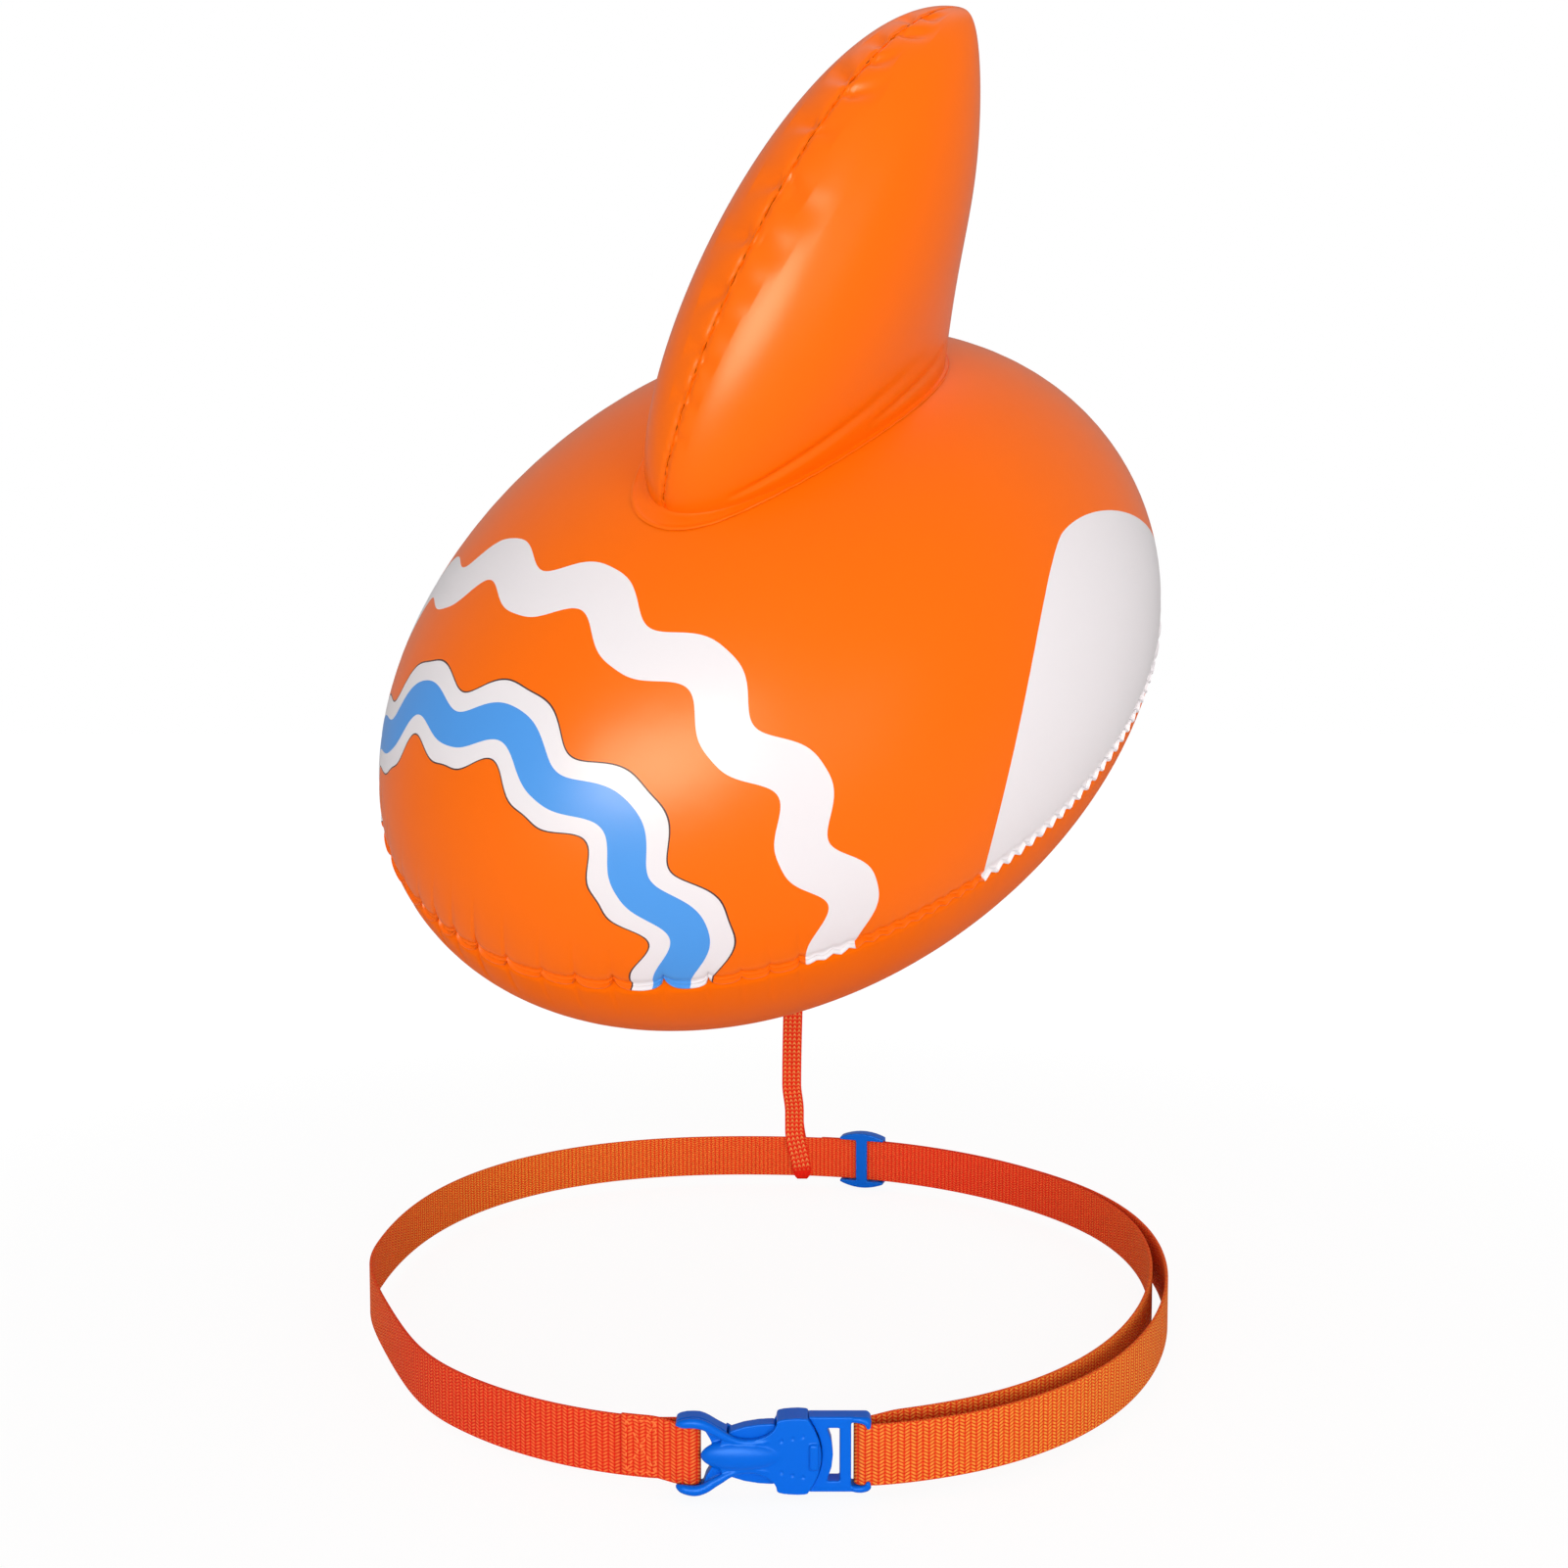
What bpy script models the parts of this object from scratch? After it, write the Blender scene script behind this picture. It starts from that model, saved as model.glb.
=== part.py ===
"""Open water swim buoy: an inflated body with a back fin, a leash and a waist belt with a buckle.

Metres, +Z up. The origin is the centre of the waist loop. The buoy is built in a frame of its own,
with +X to the nose, +Y to its left side and +Z through the fin, and that frame is then tilted.
"""
import math

import bmesh
import bpy
from mathutils import Matrix, Vector

# Fits shared by every piece
SEAT_GAP = 0.0003
RUN_GAP = 0.0005
CUT_OVERRUN = 0.004

# How finely curved shapes are drawn
MERGE_DISTANCE = 0.00001
SHADE_ANGLE = math.radians(35)
BEVEL_ANGLE = math.radians(40)
BEVEL_SEGMENTS = 2
ROUND_STEPS = 20
BALL_RINGS = 12

# Inflated body
BODY_HALF_LENGTH = 0.240
BODY_HALF_WIDTH = 0.173
UPPER_RISE = 0.1553
LOWER_RISE = 0.1508
DOME_POWER_share = 1.10
PANEL_WALL = 0.0005
SEAM_LIP = 0.0030
BODY_SEGMENTS = 56
BODY_RINGS = 12

# Place and tilt of the buoy above the belt
BUOY_X = 0.0111
BUOY_Y = 0.0332
BUOY_Z = 0.3153
BUOY_ROLL = math.radians(-28.3)
BUOY_NOSE_DOWN = math.radians(31.4)
BUOY_HEADING = math.radians(-138.0)

# Fin: the two edges are Bezier curves from the root to the tip, seen from the side
FIN_ROOT_FRONT = 0.083
FIN_ROOT_REAR = -0.113
FIN_TIP_X = -0.1302
FIN_TIP_Z = 0.2962
FIN_HALF_THICKNESS = 0.0418
FIN_BELLY_share = 0.191
FIN_SECTION_share = 0.977
LEADING_EDGE_shares = ((-0.0413, 0.2388), (0.5537, 1.2277))
TRAILING_EDGE_shares = ((0.1556, 0.6709), (0.7692, 0.4082))
FIN_ACROSS = 20
FIN_UP = 14
FLANGE_FRONT = 0.009
FLANGE_REAR = 0.003
FLANGE_THICKNESS = 0.0006
FLANGE_SEGMENTS = 64

# Oral inflation valves
VALVE_FLANGE_RADIUS = 0.013
VALVE_FLANGE_THICKNESS = 0.0008
STEM_RADIUS = 0.0055
STEM_HEIGHT = 0.014
BORE_RADIUS = 0.0036
NECK_RADIUS = 0.0046
NECK_DEPTH = 0.006
FLAP_THICKNESS = 0.0006
PLUG_LENGTH = 0.006
PLUG_TAPER = 0.0002
CAP_RADIUS = 0.0066
CAP_THICKNESS = 0.0018
COLLAR_WIDTH = 0.0018
COLLAR_HEIGHT = 0.0014
TETHER_WIDTH = 0.003
TETHER_THICKNESS = 0.001
TETHER_REACH = 0.0035
TETHER_OVERLAP = 0.0004
TETHER_STEPS = 12
VALVE_STEPS = 24
BODY_VALVE_X = -0.105
BODY_VALVE_Y = -0.050
FIN_VALVE_ALONG_share = 0.60
FIN_VALVE_UP_share = 0.25

# Leash anchor under the body
PATCH_RADIUS = 0.032
PATCH_THICKNESS = 0.0008
PATCH_SEGMENTS = 32
PATCH_RINGS = 4
BRIDGE_WIDTH = 0.010
BRIDGE_THICKNESS = 0.001
BRIDGE_FOOT = 0.012

# Leash webbing, with its route as (y, z) in the upright plane through the anchor
LEASH_WIDTH = 0.012
LEASH_THICKNESS = 0.0014
LEASH_STEPS = 2
LEASH_ROUTE = (
    (0.1541, 0.1666), (0.1509, 0.1761), (0.1481, 0.1839), (0.1462, 0.1885), (0.1438, 0.1944),
    (0.1420, 0.1996), (0.1404, 0.2022), (0.1389, 0.2030), (0.1374, 0.2022), (0.1344, 0.1998),
    (0.1309, 0.1966), (0.1302, 0.1946), (0.1312, 0.1932), (0.1337, 0.1922), (0.1385, 0.1899),
    (0.1428, 0.1866), (0.1460, 0.1822), (0.1492, 0.1756), (0.1605, 0.1425), (0.1749, 0.1000),
    (0.1883, 0.0606), (0.1945, 0.0422), (0.1983, 0.0300), (0.2004, 0.0210), (0.2011, 0.0130),
    (0.2011, 0.0000), (0.2011, -0.0105), (0.2017, -0.0130), (0.2034, -0.0141), (0.2051, -0.0130),
    (0.2057, -0.0105), (0.2057, 0.0000), (0.2057, 0.0130), (0.2051, 0.0190), (0.2034, 0.0252),
    (0.2005, 0.0336), (0.1963, 0.0428), (0.1901, 0.0612), (0.1883, 0.0666),
)

# Waist belt webbing: a round loop with soft bends, each with its angle and reach in degrees and
# its depth as a share of the radius
BELT_RADIUS = 0.204
BELT_WIDTH = 0.025
BELT_THICKNESS = 0.0015
LOOP_BEND_shares = ((133, 49, 0.070), (-155.5, 25, -0.032), (-110, 39, 0.026), (-18, 50, -0.048))
FOLD_LENGTH = 0.028
OUTER_PLY_BULGE = 0.006
OUTER_PLY_SKEW_share = 0.55
PLY_MEET_ANGLE = math.radians(40)
TAIL_END_ANGLE = math.radians(81)
SPLIT_ANGLE = math.radians(-25)
APPROACH_ANGLE = math.radians(5)
STATION_ANGLE = math.radians(3)
WRAP_STEPS = 8

# Slider that keeps the two plies together
SLIDER_ANGLE = math.radians(73.5)
SLIDER_LENGTH = 0.028
SLIDER_BAND = 0.0045
SLIDER_BAR_WIDTH = 0.007
SLIDER_RAIL_WIDTH = 0.004
SLIDER_BAR_THICKNESS = 0.0022
SLIDER_EDGE_ROUND = 0.0008
SLIDER_SHOULDER_share = 0.33
SLIDER_STEPS = 10

# Side release buckle: x along the belt, y through its thickness, z across the belt
BUCKLE_X = 0.0023
BUCKLE_Y = -0.207
BUCKLE_HALF_LENGTH = 0.0405
BUCKLE_ARM = 0.0024
WEBBING_EDGE_GAP = 0.0004
BAR_RADIUS = 0.0018
FEMALE_THICKNESS = 0.011
YOKE_THICKNESS = 0.0065
CAVITY_THICKNESS = 0.0068
PRONG_THICKNESS = 0.0060
FRAME_THICKNESS = 0.007
TONGUE_HALF_WIDTH = 0.0026
TONGUE_THICKNESS = 0.005
BUCKLE_EDGE_ROUND = 0.0012
DIMPLE_RADIUS = 0.0012
DIMPLE_LIFT = 0.0007
SPINE_HALF_WIDTH = 0.0066
SPINE_DEPTH = 0.0042
SPINE_PROUD = 0.0018
RIB_PROUD = 0.0012
MOUTH_STEPS = 16
WINDOW_STEPS = 28
CORNER_STEPS = 4
DIMPLE_STEPS = 10
DIMPLE_RINGS = 6

# Sizes that follow from the ones above
PLY_PITCH = BELT_THICKNESS + SEAT_GAP
WRAP_RADIUS = BAR_RADIUS + SEAT_GAP + BELT_THICKNESS / 2
INNER_HALF_HEIGHT = BELT_WIDTH / 2 + WEBBING_EDGE_GAP
BUCKLE_HALF_HEIGHT = INNER_HALF_HEIGHT + BUCKLE_ARM

# Buckle outlines, x as shares of its half length and z as shares of its half height
MOUTH_share = 0.506
MOUTH_BOW_share = 0.136
YOKE_OUTER_shares = (
    (-0.92, 0.855), (-0.912, 0.905), (-0.88, 0.955), (-0.82, 0.99), (-0.75, 1.0),
    (-0.685, 0.985), (-0.64, 0.945), (-0.595, 0.885), (-0.509, 0.745), (-0.44, 0.65),
    (-0.353, 0.595),
)
YOKE_INNER_shares = ((-0.655, 0.80), (-0.63, 0.60), (-0.585, 0.40), (-0.545, 0.15))
YOKE_CORNER_share = -0.667
HOUSING_shares = (
    (-0.50, 0.0), (-0.493, 0.25), (-0.47, 0.45), (-0.43, 0.60), (-0.35, 0.68),
    (-0.20, 0.76), (0.05, 0.90), (0.09, 0.965), (0.15, 1.0), (0.28, 1.02), (0.37, 1.0),
)
WINDOW_CENTRE_share = -0.209
WINDOW_HALF_LENGTH_share = 0.28
WINDOW_TOP_share = 0.92
WINDOW_DEPTH_share = 0.48
FEMALE_BAR_share = -0.765
MALE_BAR_share = 0.913
SPINE_CENTRE_share = -0.265
SPINE_HALF_LENGTH_share = 0.40
CAVITY_shares = (
    (-0.45, 0.50), (-0.40, 0.66), (-0.25, 0.78), (-0.10, 0.84), (0.071, 0.845),
    (0.071, 0.64), (0.62, 0.64),
)
RIB_FROM_share = 0.39
RIB_TO_share = 0.478
RIB_HALF_HEIGHT_share = 0.34
DIMPLE_shares = ((0.114, 0.42), (0.222, 0.49), (0.326, 0.54))
SLOT_shares = ((0.56, 0.705), (0.608, 0.34), (0.622, 0.0))
MIDDLE_BAR_FROM_share = 0.689
MIDDLE_BAR_TO_share = 0.80
TONGUE_END_share = 0.06
PRONG_ROOT_share = 0.464
PRONG_shares = (
    (0.464, 0.39), (0.07, 0.39), (0.0, 0.29), (-0.148, 0.31), (-0.29, 0.375),
    (-0.385, 0.46), (-0.41, 0.54), (-0.375, 0.62), (-0.25, 0.725), (-0.10, 0.79),
    (0.03, 0.805), (0.056, 0.785), (0.058, 0.565), (0.464, 0.565),
)
PRONG_PIVOT_HEIGHT_share = 0.4775


def remove_everything():
    """Start from an empty scene."""
    for item in list(bpy.data.objects):
        bpy.data.objects.remove(item)


def new_collection(name):
    collection = bpy.data.collections.new(name)
    bpy.context.scene.collection.children.link(collection)
    return collection


remove_everything()
PARTS = new_collection("swim_buoy")
TOOLS = new_collection("construction")


def material(name, hex_colour, roughness, metallic=0.0):
    """A plain finish from an sRGB hex colour."""
    channels = []
    for place in (0, 2, 4):
        value = int(hex_colour[place:place + 2], 16) / 255
        channels.append(value / 12.92 if value <= 0.04045 else ((value + 0.055) / 1.055) ** 2.4)
    finish = bpy.data.materials.new(name)
    finish.use_nodes = True
    shader = finish.node_tree.nodes["Principled BSDF"]
    shader.inputs["Base Color"].default_value = (*channels, 1.0)
    shader.inputs["Roughness"].default_value = roughness
    shader.inputs["Metallic"].default_value = metallic
    return finish


ORANGE_VINYL = material("orange_vinyl", "FF7300", 0.38)
ORANGE_WELD = material("orange_weld", "F06400", 0.42)
CLEAR_VINYL = material("clear_vinyl", "F4E8DC", 0.25)
ORANGE_WEBBING = material("orange_webbing", "F4561A", 0.85)
BLUE_ACETAL = material("blue_acetal", "0A78F0", 0.35)


def place(item, finish=None, parent=None, location=(0, 0, 0), rotation=None, tool=False):
    """Put an object in its collection, under its parent, with its finish."""
    (TOOLS if tool else PARTS).objects.link(item)
    item.parent = parent
    item.location = location
    if rotation is not None:
        item.rotation_euler = rotation.to_euler()
    if finish is not None:
        item.data.materials.append(finish)
    if tool:
        item.hide_render = True
        item.display_type = "WIRE"
    return item


def mesh_object(name, bm):
    """Turn a bmesh into an object, shaded smooth up to an angle."""
    mesh = bpy.data.meshes.new(name)
    bm.to_mesh(mesh)
    bm.free()
    mesh.shade_smooth()
    mesh.set_sharp_from_angle(angle=SHADE_ANGLE)
    return bpy.data.objects.new(name, mesh)


def solidify(item, thickness, offset):
    wall = item.modifiers.new("wall", "SOLIDIFY")
    wall.thickness = thickness
    wall.offset = offset
    return wall


def round_edges(item, width):
    bevel = item.modifiers.new("round_edges", "BEVEL")
    bevel.width = width
    bevel.segments = BEVEL_SEGMENTS
    bevel.limit_method = "ANGLE"
    bevel.angle_limit = BEVEL_ANGLE


def combine(item, other, operation):
    """Join to an object, or cut from it, another solid."""
    boolean = item.modifiers.new(other.name, "BOOLEAN")
    boolean.operation = operation
    boolean.object = other
    boolean.solver = "EXACT"


def box(name, low, high):
    """A box between two corners, as a tool."""
    bm = bmesh.new()
    bmesh.ops.create_cube(bm, size=1.0)
    size = [b - a for a, b in zip(low, high)]
    middle = [(a + b) / 2 for a, b in zip(low, high)]
    bmesh.ops.scale(bm, vec=size, verts=bm.verts)
    bmesh.ops.translate(bm, vec=middle, verts=bm.verts)
    return mesh_object(name, bm)


def cylinder(name, radius, low, high, segments=ROUND_STEPS):
    """An upright cylinder between two heights."""
    bm = bmesh.new()
    bmesh.ops.create_cone(bm, cap_ends=True, segments=segments, radius1=radius, radius2=radius,
                          depth=high - low)
    bmesh.ops.translate(bm, vec=(0, 0, (low + high) / 2), verts=bm.verts)
    return mesh_object(name, bm)


def ellipsoid(name, centre, radii, around=ROUND_STEPS, rings=BALL_RINGS):
    bm = bmesh.new()
    bmesh.ops.create_uvsphere(bm, u_segments=around, v_segments=rings, radius=1.0)
    bmesh.ops.scale(bm, vec=radii, verts=bm.verts)
    bmesh.ops.translate(bm, vec=centre, verts=bm.verts)
    return mesh_object(name, bm)


def turned(name, profile):
    """A turned shape from a closed profile of (radius, height)."""
    mesh = bpy.data.meshes.new(name)
    count = len(profile)
    on_axis = profile[0][0] == 0
    edges = [(i, i + 1) for i in range(count - 1)]
    if not on_axis:
        edges.append((count - 1, 0))
    mesh.from_pydata([(radius, 0, height) for radius, height in profile], edges, [])
    item = bpy.data.objects.new(name, mesh)
    screw = item.modifiers.new("turn", "SCREW")
    screw.steps = VALVE_STEPS
    screw.render_steps = VALVE_STEPS
    screw.use_merge_vertices = True
    screw.merge_threshold = MERGE_DISTANCE
    return item


def outline_solid(name, loops, thickness):
    """A flat outline, drawn in X and Z, made solid to both sides of that plane."""
    curve = bpy.data.curves.new(name, "CURVE")
    curve.dimensions = "2D"
    curve.fill_mode = "BOTH"
    curve.extrude = thickness / 2
    for loop in loops:
        spline = curve.splines.new("POLY")
        spline.points.add(len(loop) - 1)
        for point, (x, z) in zip(spline.points, loop):
            point.co = (x, z, 0, 1)
        spline.use_cyclic_u = True
    drawing = bpy.data.objects.new(name + "_drawing", curve)
    TOOLS.objects.link(drawing)
    drawing.rotation_euler.x = math.radians(90)
    bpy.context.view_layer.update()
    evaluated = drawing.evaluated_get(bpy.context.evaluated_depsgraph_get())
    mesh = bpy.data.meshes.new_from_object(evaluated)
    bm = bmesh.new()
    bm.from_mesh(mesh)
    bmesh.ops.transform(bm, matrix=drawing.matrix_world, verts=bm.verts)
    bmesh.ops.remove_doubles(bm, verts=bm.verts, dist=MERGE_DISTANCE)
    bmesh.ops.recalc_face_normals(bm, faces=bm.faces)
    bpy.data.objects.remove(drawing)
    bpy.data.curves.remove(curve)
    bpy.data.meshes.remove(mesh)
    return mesh_object(name, bm)


def smooth_route(points, per_span):
    """Points along a smooth curve through the given ones."""
    ends = [points[0]] + list(points) + [points[-1]]
    route = []
    for index in range(len(points) - 1):
        before, start, end, after = (Vector(p) for p in ends[index:index + 4])
        for step in range(per_span):
            t = step / per_span
            route.append(0.5 * (2 * start + (end - before) * t
                                + (2 * before - 5 * start + 4 * end - after) * t ** 2
                                + (3 * start - before - 3 * end + after) * t ** 3))
    route.append(Vector(points[-1]))
    return route


def ribbon(name, points, width, thickness):
    """Webbing: a flat route extruded to its width, with its thickness on both sides."""
    curve = bpy.data.curves.new(name, "CURVE")
    curve.dimensions = "2D"
    curve.fill_mode = "NONE"
    curve.extrude = width / 2
    spline = curve.splines.new("POLY")
    spline.points.add(len(points) - 1)
    for point, (x, y) in zip(spline.points, points):
        point.co = (x, y, 0, 1)
    item = bpy.data.objects.new(name, curve)
    solidify(item, thickness, 0.0)
    return item


def face_along_z(bm, sign):
    """Turn an open sheet's faces up or down."""
    bmesh.ops.recalc_face_normals(bm, faces=bm.faces)
    if sign * sum(face.normal.z for face in bm.faces) < 0:
        bmesh.ops.reverse_faces(bm, faces=bm.faces)


def smoothstep(t):
    t = min(max(t, 0.0), 1.0)
    return t * t * (3 - 2 * t)


# Frame of the buoy
buoy = bpy.data.objects.new("buoy_frame", None)
TOOLS.objects.link(buoy)
buoy.location = (BUOY_X, BUOY_Y, BUOY_Z)
buoy.rotation_euler = (BUOY_ROLL, BUOY_NOSE_DOWN, BUOY_HEADING)
bpy.context.view_layer.update()

SEAM_LEVEL = PANEL_WALL + SEAT_GAP / 2


def dome_height(x, y, rise):
    """Height of a panel's outer face over the seam plane."""
    room = 1 - (x / BODY_HALF_LENGTH) ** 2 - (y / BODY_HALF_WIDTH) ** 2
    return SEAM_LEVEL + rise * max(room, 0.0) ** (DOME_POWER_share / 2)


def dome_normal(x, y, rise):
    """Outward direction of a panel at a place."""
    step = BODY_HALF_LENGTH / BODY_SEGMENTS
    slope_x = (dome_height(x + step, y, rise) - dome_height(x - step, y, rise)) / (2 * step)
    slope_y = (dome_height(x, y + step, rise) - dome_height(x, y - step, rise)) / (2 * step)
    return Vector((-slope_x, -slope_y, 1)).normalized()


def body_panel(name, rise, up):
    """One welded half of the body: a dome with a flat lip along the seam."""
    bm = bmesh.new()
    bmesh.ops.create_uvsphere(bm, u_segments=BODY_SEGMENTS, v_segments=2 * BODY_RINGS, radius=1.0)
    equator = math.sin(math.pi / (4 * BODY_RINGS))
    below = [v for v in bm.verts if v.co.z < -equator]
    bmesh.ops.delete(bm, geom=below, context="VERTS")
    rim = [e for e in bm.edges if e.is_boundary]
    lip = bmesh.ops.extrude_edge_only(bm, edges=rim)["geom"]
    lip_verts = {v for v in lip if isinstance(v, bmesh.types.BMVert)}
    for vert in bm.verts:
        x, y, z = vert.co
        spread = SEAM_LIP if vert in lip_verts else 0.0
        level = 0.0 if vert in lip_verts else rise * max(z, 0.0) ** DOME_POWER_share
        vert.co = (x * (BODY_HALF_LENGTH + spread), y * (BODY_HALF_WIDTH + spread),
                   up * (SEAM_LEVEL + level))
    if up < 0:
        bmesh.ops.reverse_faces(bm, faces=bm.faces)
    item = mesh_object(name, bm)
    solidify(item, PANEL_WALL, -1.0)
    return place(item, ORANGE_VINYL, buoy)


upper_panel = body_panel("upper_panel", UPPER_RISE, 1)
lower_panel = body_panel("lower_panel", LOWER_RISE, -1)


# Fin
def bezier(start, end, shares, t):
    """A point of an edge: the two middle handles are shares of the way from start to end."""
    span = end - start
    handles = [start + Vector((span.x * a, span.y * b)) for a, b in shares]
    points = [start, *handles, end]
    weights = [(1 - t) ** 3, 3 * (1 - t) ** 2 * t, 3 * (1 - t) * t ** 2, t ** 3]
    return sum((p * w for p, w in zip(points, weights)), Vector((0, 0)))


FIN_SEAT = 2 * SEAT_GAP
FIN_TIP = Vector((FIN_TIP_X, FIN_TIP_Z))
LEADING_ROOT = Vector((FIN_ROOT_FRONT, dome_height(FIN_ROOT_FRONT, 0, UPPER_RISE)))
TRAILING_ROOT = Vector((FIN_ROOT_REAR, dome_height(FIN_ROOT_REAR, 0, UPPER_RISE)))


def fin_section(along):
    """Unit lens section: how far fore or aft, and how far out, from 0 in front to 1 behind."""
    turn = math.pi * along
    fore = math.copysign(abs(math.cos(turn)) ** FIN_SECTION_share, math.cos(turn))
    return fore, max(math.sin(turn), 0.0) ** FIN_SECTION_share


def fin_root(along):
    """A point of the root outline on the body, on the left side."""
    fore, out = fin_section(along)
    middle = (FIN_ROOT_FRONT + FIN_ROOT_REAR) / 2
    x = middle + fore * (FIN_ROOT_FRONT - FIN_ROOT_REAR) / 2
    return Vector((x, out * FIN_HALF_THICKNESS))


def fin_point(along, up, side):
    """A point of a fin panel's outer face."""
    front = bezier(LEADING_ROOT, FIN_TIP, LEADING_EDGE_shares, up)
    rear = bezier(TRAILING_ROOT, FIN_TIP, TRAILING_EDGE_shares, up)
    fore, out = fin_section(along)
    middle = (front + rear) / 2
    reach = (front - rear) / 2 * fore
    belly = 1 + FIN_BELLY_share * 4 * up * (1 - up)
    half = FIN_HALF_THICKNESS * math.sqrt(max(1 - up ** 2, 0.0)) * belly
    root = fin_root(along)
    chord = (LEADING_ROOT + TRAILING_ROOT) / 2 + (LEADING_ROOT - TRAILING_ROOT) / 2 * fore
    lift = dome_height(root.x, root.y, UPPER_RISE) + FIN_SEAT - chord.y
    height = middle.y + reach.y + lift * (1 - up) ** 2
    return Vector((middle.x + reach.x, side * (SEAT_GAP / 2 + half * out), height))


def fin_panel(name, side):
    """One welded half of the fin, open along its root and its seam."""
    bm = bmesh.new()
    rows = []
    for row in range(FIN_UP + 1):
        up = math.sin(math.pi / 2 * row / FIN_UP)
        rows.append([bm.verts.new(fin_point(column / FIN_ACROSS, up, side))
                     for column in range(FIN_ACROSS + 1)])
    for lower, upper in zip(rows, rows[1:]):
        for column in range(FIN_ACROSS):
            bm.faces.new((lower[column], lower[column + 1], upper[column + 1], upper[column]))
    if side < 0:
        bmesh.ops.reverse_faces(bm, faces=bm.faces)
    bmesh.ops.remove_doubles(bm, verts=bm.verts, dist=MERGE_DISTANCE)
    item = mesh_object(name, bm)
    solidify(item, PANEL_WALL, -1.0)
    return place(item, ORANGE_VINYL, buoy)


fin_left_panel = fin_panel("fin_left_panel", 1)
fin_right_panel = fin_panel("fin_right_panel", -1)


def root_outline(turn):
    """A point of the whole root outline, from the front (0) by the left side to the rear (1)."""
    turn = turn % 2
    spot = fin_root(min(turn, 2 - turn))
    return spot if turn <= 1 else Vector((spot.x, -spot.y))


def fin_flange():
    """The weld flange round the fin's root, widest in front, lying on the upper panel."""
    bm = bmesh.new()
    rings = []
    step = 2 / FLANGE_SEGMENTS
    for index in range(FLANGE_SEGMENTS):
        turn = index * step
        tangent = root_outline(turn + step) - root_outline(turn - step)
        outward = Vector((tangent.y, -tangent.x)).normalized()
        front = (1 + math.cos(math.pi * turn)) / 2
        width = FLANGE_REAR + (FLANGE_FRONT - FLANGE_REAR) * front
        ring = []
        for share in (0, 0.5, 1):
            spot = root_outline(turn) + outward * (2 * SEAT_GAP + width * share)
            level = dome_height(spot.x, spot.y, UPPER_RISE) + SEAT_GAP
            ring.append(bm.verts.new((spot.x, spot.y, level)))
        rings.append(ring)
    for ring, following in zip(rings, rings[1:] + rings[:1]):
        for inner in range(2):
            bm.faces.new((ring[inner], ring[inner + 1], following[inner + 1], following[inner]))
    face_along_z(bm, 1)
    item = mesh_object("fin_flange", bm)
    solidify(item, FLANGE_THICKNESS, 1.0)
    return place(item, ORANGE_WELD, buoy)


fin_flange()


# Valves
def valve(prefix, skin, spot, outward):
    """An oral valve: welded base with its stem, a check flap inside and a plug with a tether."""
    turn = outward.to_track_quat("Z", "X")
    seat = spot + outward * SEAT_GAP
    top = VALVE_FLANGE_THICKNESS + STEM_HEIGHT
    base = turned(prefix + "_valve_base", (
        (BORE_RADIUS, top), (STEM_RADIUS, top), (STEM_RADIUS, VALVE_FLANGE_THICKNESS),
        (VALVE_FLANGE_RADIUS, VALVE_FLANGE_THICKNESS), (VALVE_FLANGE_RADIUS, 0),
        (NECK_RADIUS, 0), (NECK_RADIUS, -NECK_DEPTH), (BORE_RADIUS, -NECK_DEPTH),
    ))
    place(base, CLEAR_VINYL, buoy, seat, turn)

    flap_radius = BORE_RADIUS - SEAT_GAP
    flap = cylinder(prefix + "_valve_flap", flap_radius, -NECK_DEPTH,
                    FLAP_THICKNESS - NECK_DEPTH, VALVE_STEPS)
    place(flap, CLEAR_VINYL, buoy, seat, turn)

    plug_radius = BORE_RADIUS - SEAT_GAP
    plug = turned(prefix + "_valve_plug", (
        (0, top + SEAT_GAP + CAP_THICKNESS), (CAP_RADIUS, top + SEAT_GAP + CAP_THICKNESS),
        (CAP_RADIUS, top + SEAT_GAP), (plug_radius, top + SEAT_GAP),
        (plug_radius - PLUG_TAPER, top - PLUG_LENGTH), (0, top - PLUG_LENGTH),
    ))
    collar_low = VALVE_FLANGE_THICKNESS + SEAT_GAP
    collar_inner = STEM_RADIUS + SEAT_GAP
    collar = turned(prefix + "_collar", (
        (collar_inner, collar_low + COLLAR_HEIGHT),
        (collar_inner + COLLAR_WIDTH, collar_low + COLLAR_HEIGHT),
        (collar_inner + COLLAR_WIDTH, collar_low), (collar_inner, collar_low),
    ))
    cap_middle = top + SEAT_GAP + CAP_THICKNESS / 2
    collar_middle = collar_low + COLLAR_HEIGHT / 2
    bow_centre = (cap_middle + collar_middle) / 2
    bow_half = (cap_middle - collar_middle) / 2
    start = collar_inner + TETHER_OVERLAP
    bend = []
    for edge in (1, -1):
        reach = CAP_RADIUS + TETHER_REACH - start + edge * TETHER_THICKNESS / 2
        rise = bow_half + edge * TETHER_THICKNESS / 2
        for step in range(TETHER_STEPS + 1):
            angle = math.pi * (step / TETHER_STEPS - 0.5)
            out = max(math.cos(angle), 0.0) ** 0.5
            bend.append((start + reach * out, bow_centre + edge * rise * math.sin(angle)))
    tether = outline_solid(prefix + "_tether", [bend], TETHER_WIDTH)
    for tool in (collar, tether):
        place(tool, None, buoy, seat, turn, tool=True)
        combine(plug, tool, "UNION")
    place(plug, CLEAR_VINYL, buoy, seat, turn)

    hole = cylinder(prefix + "_valve_hole", NECK_RADIUS + SEAT_GAP, -CUT_OVERRUN, CUT_OVERRUN,
                    VALVE_STEPS)
    place(hole, None, buoy, spot, turn, tool=True)
    combine(skin, hole, "DIFFERENCE")
    return plug


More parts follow.
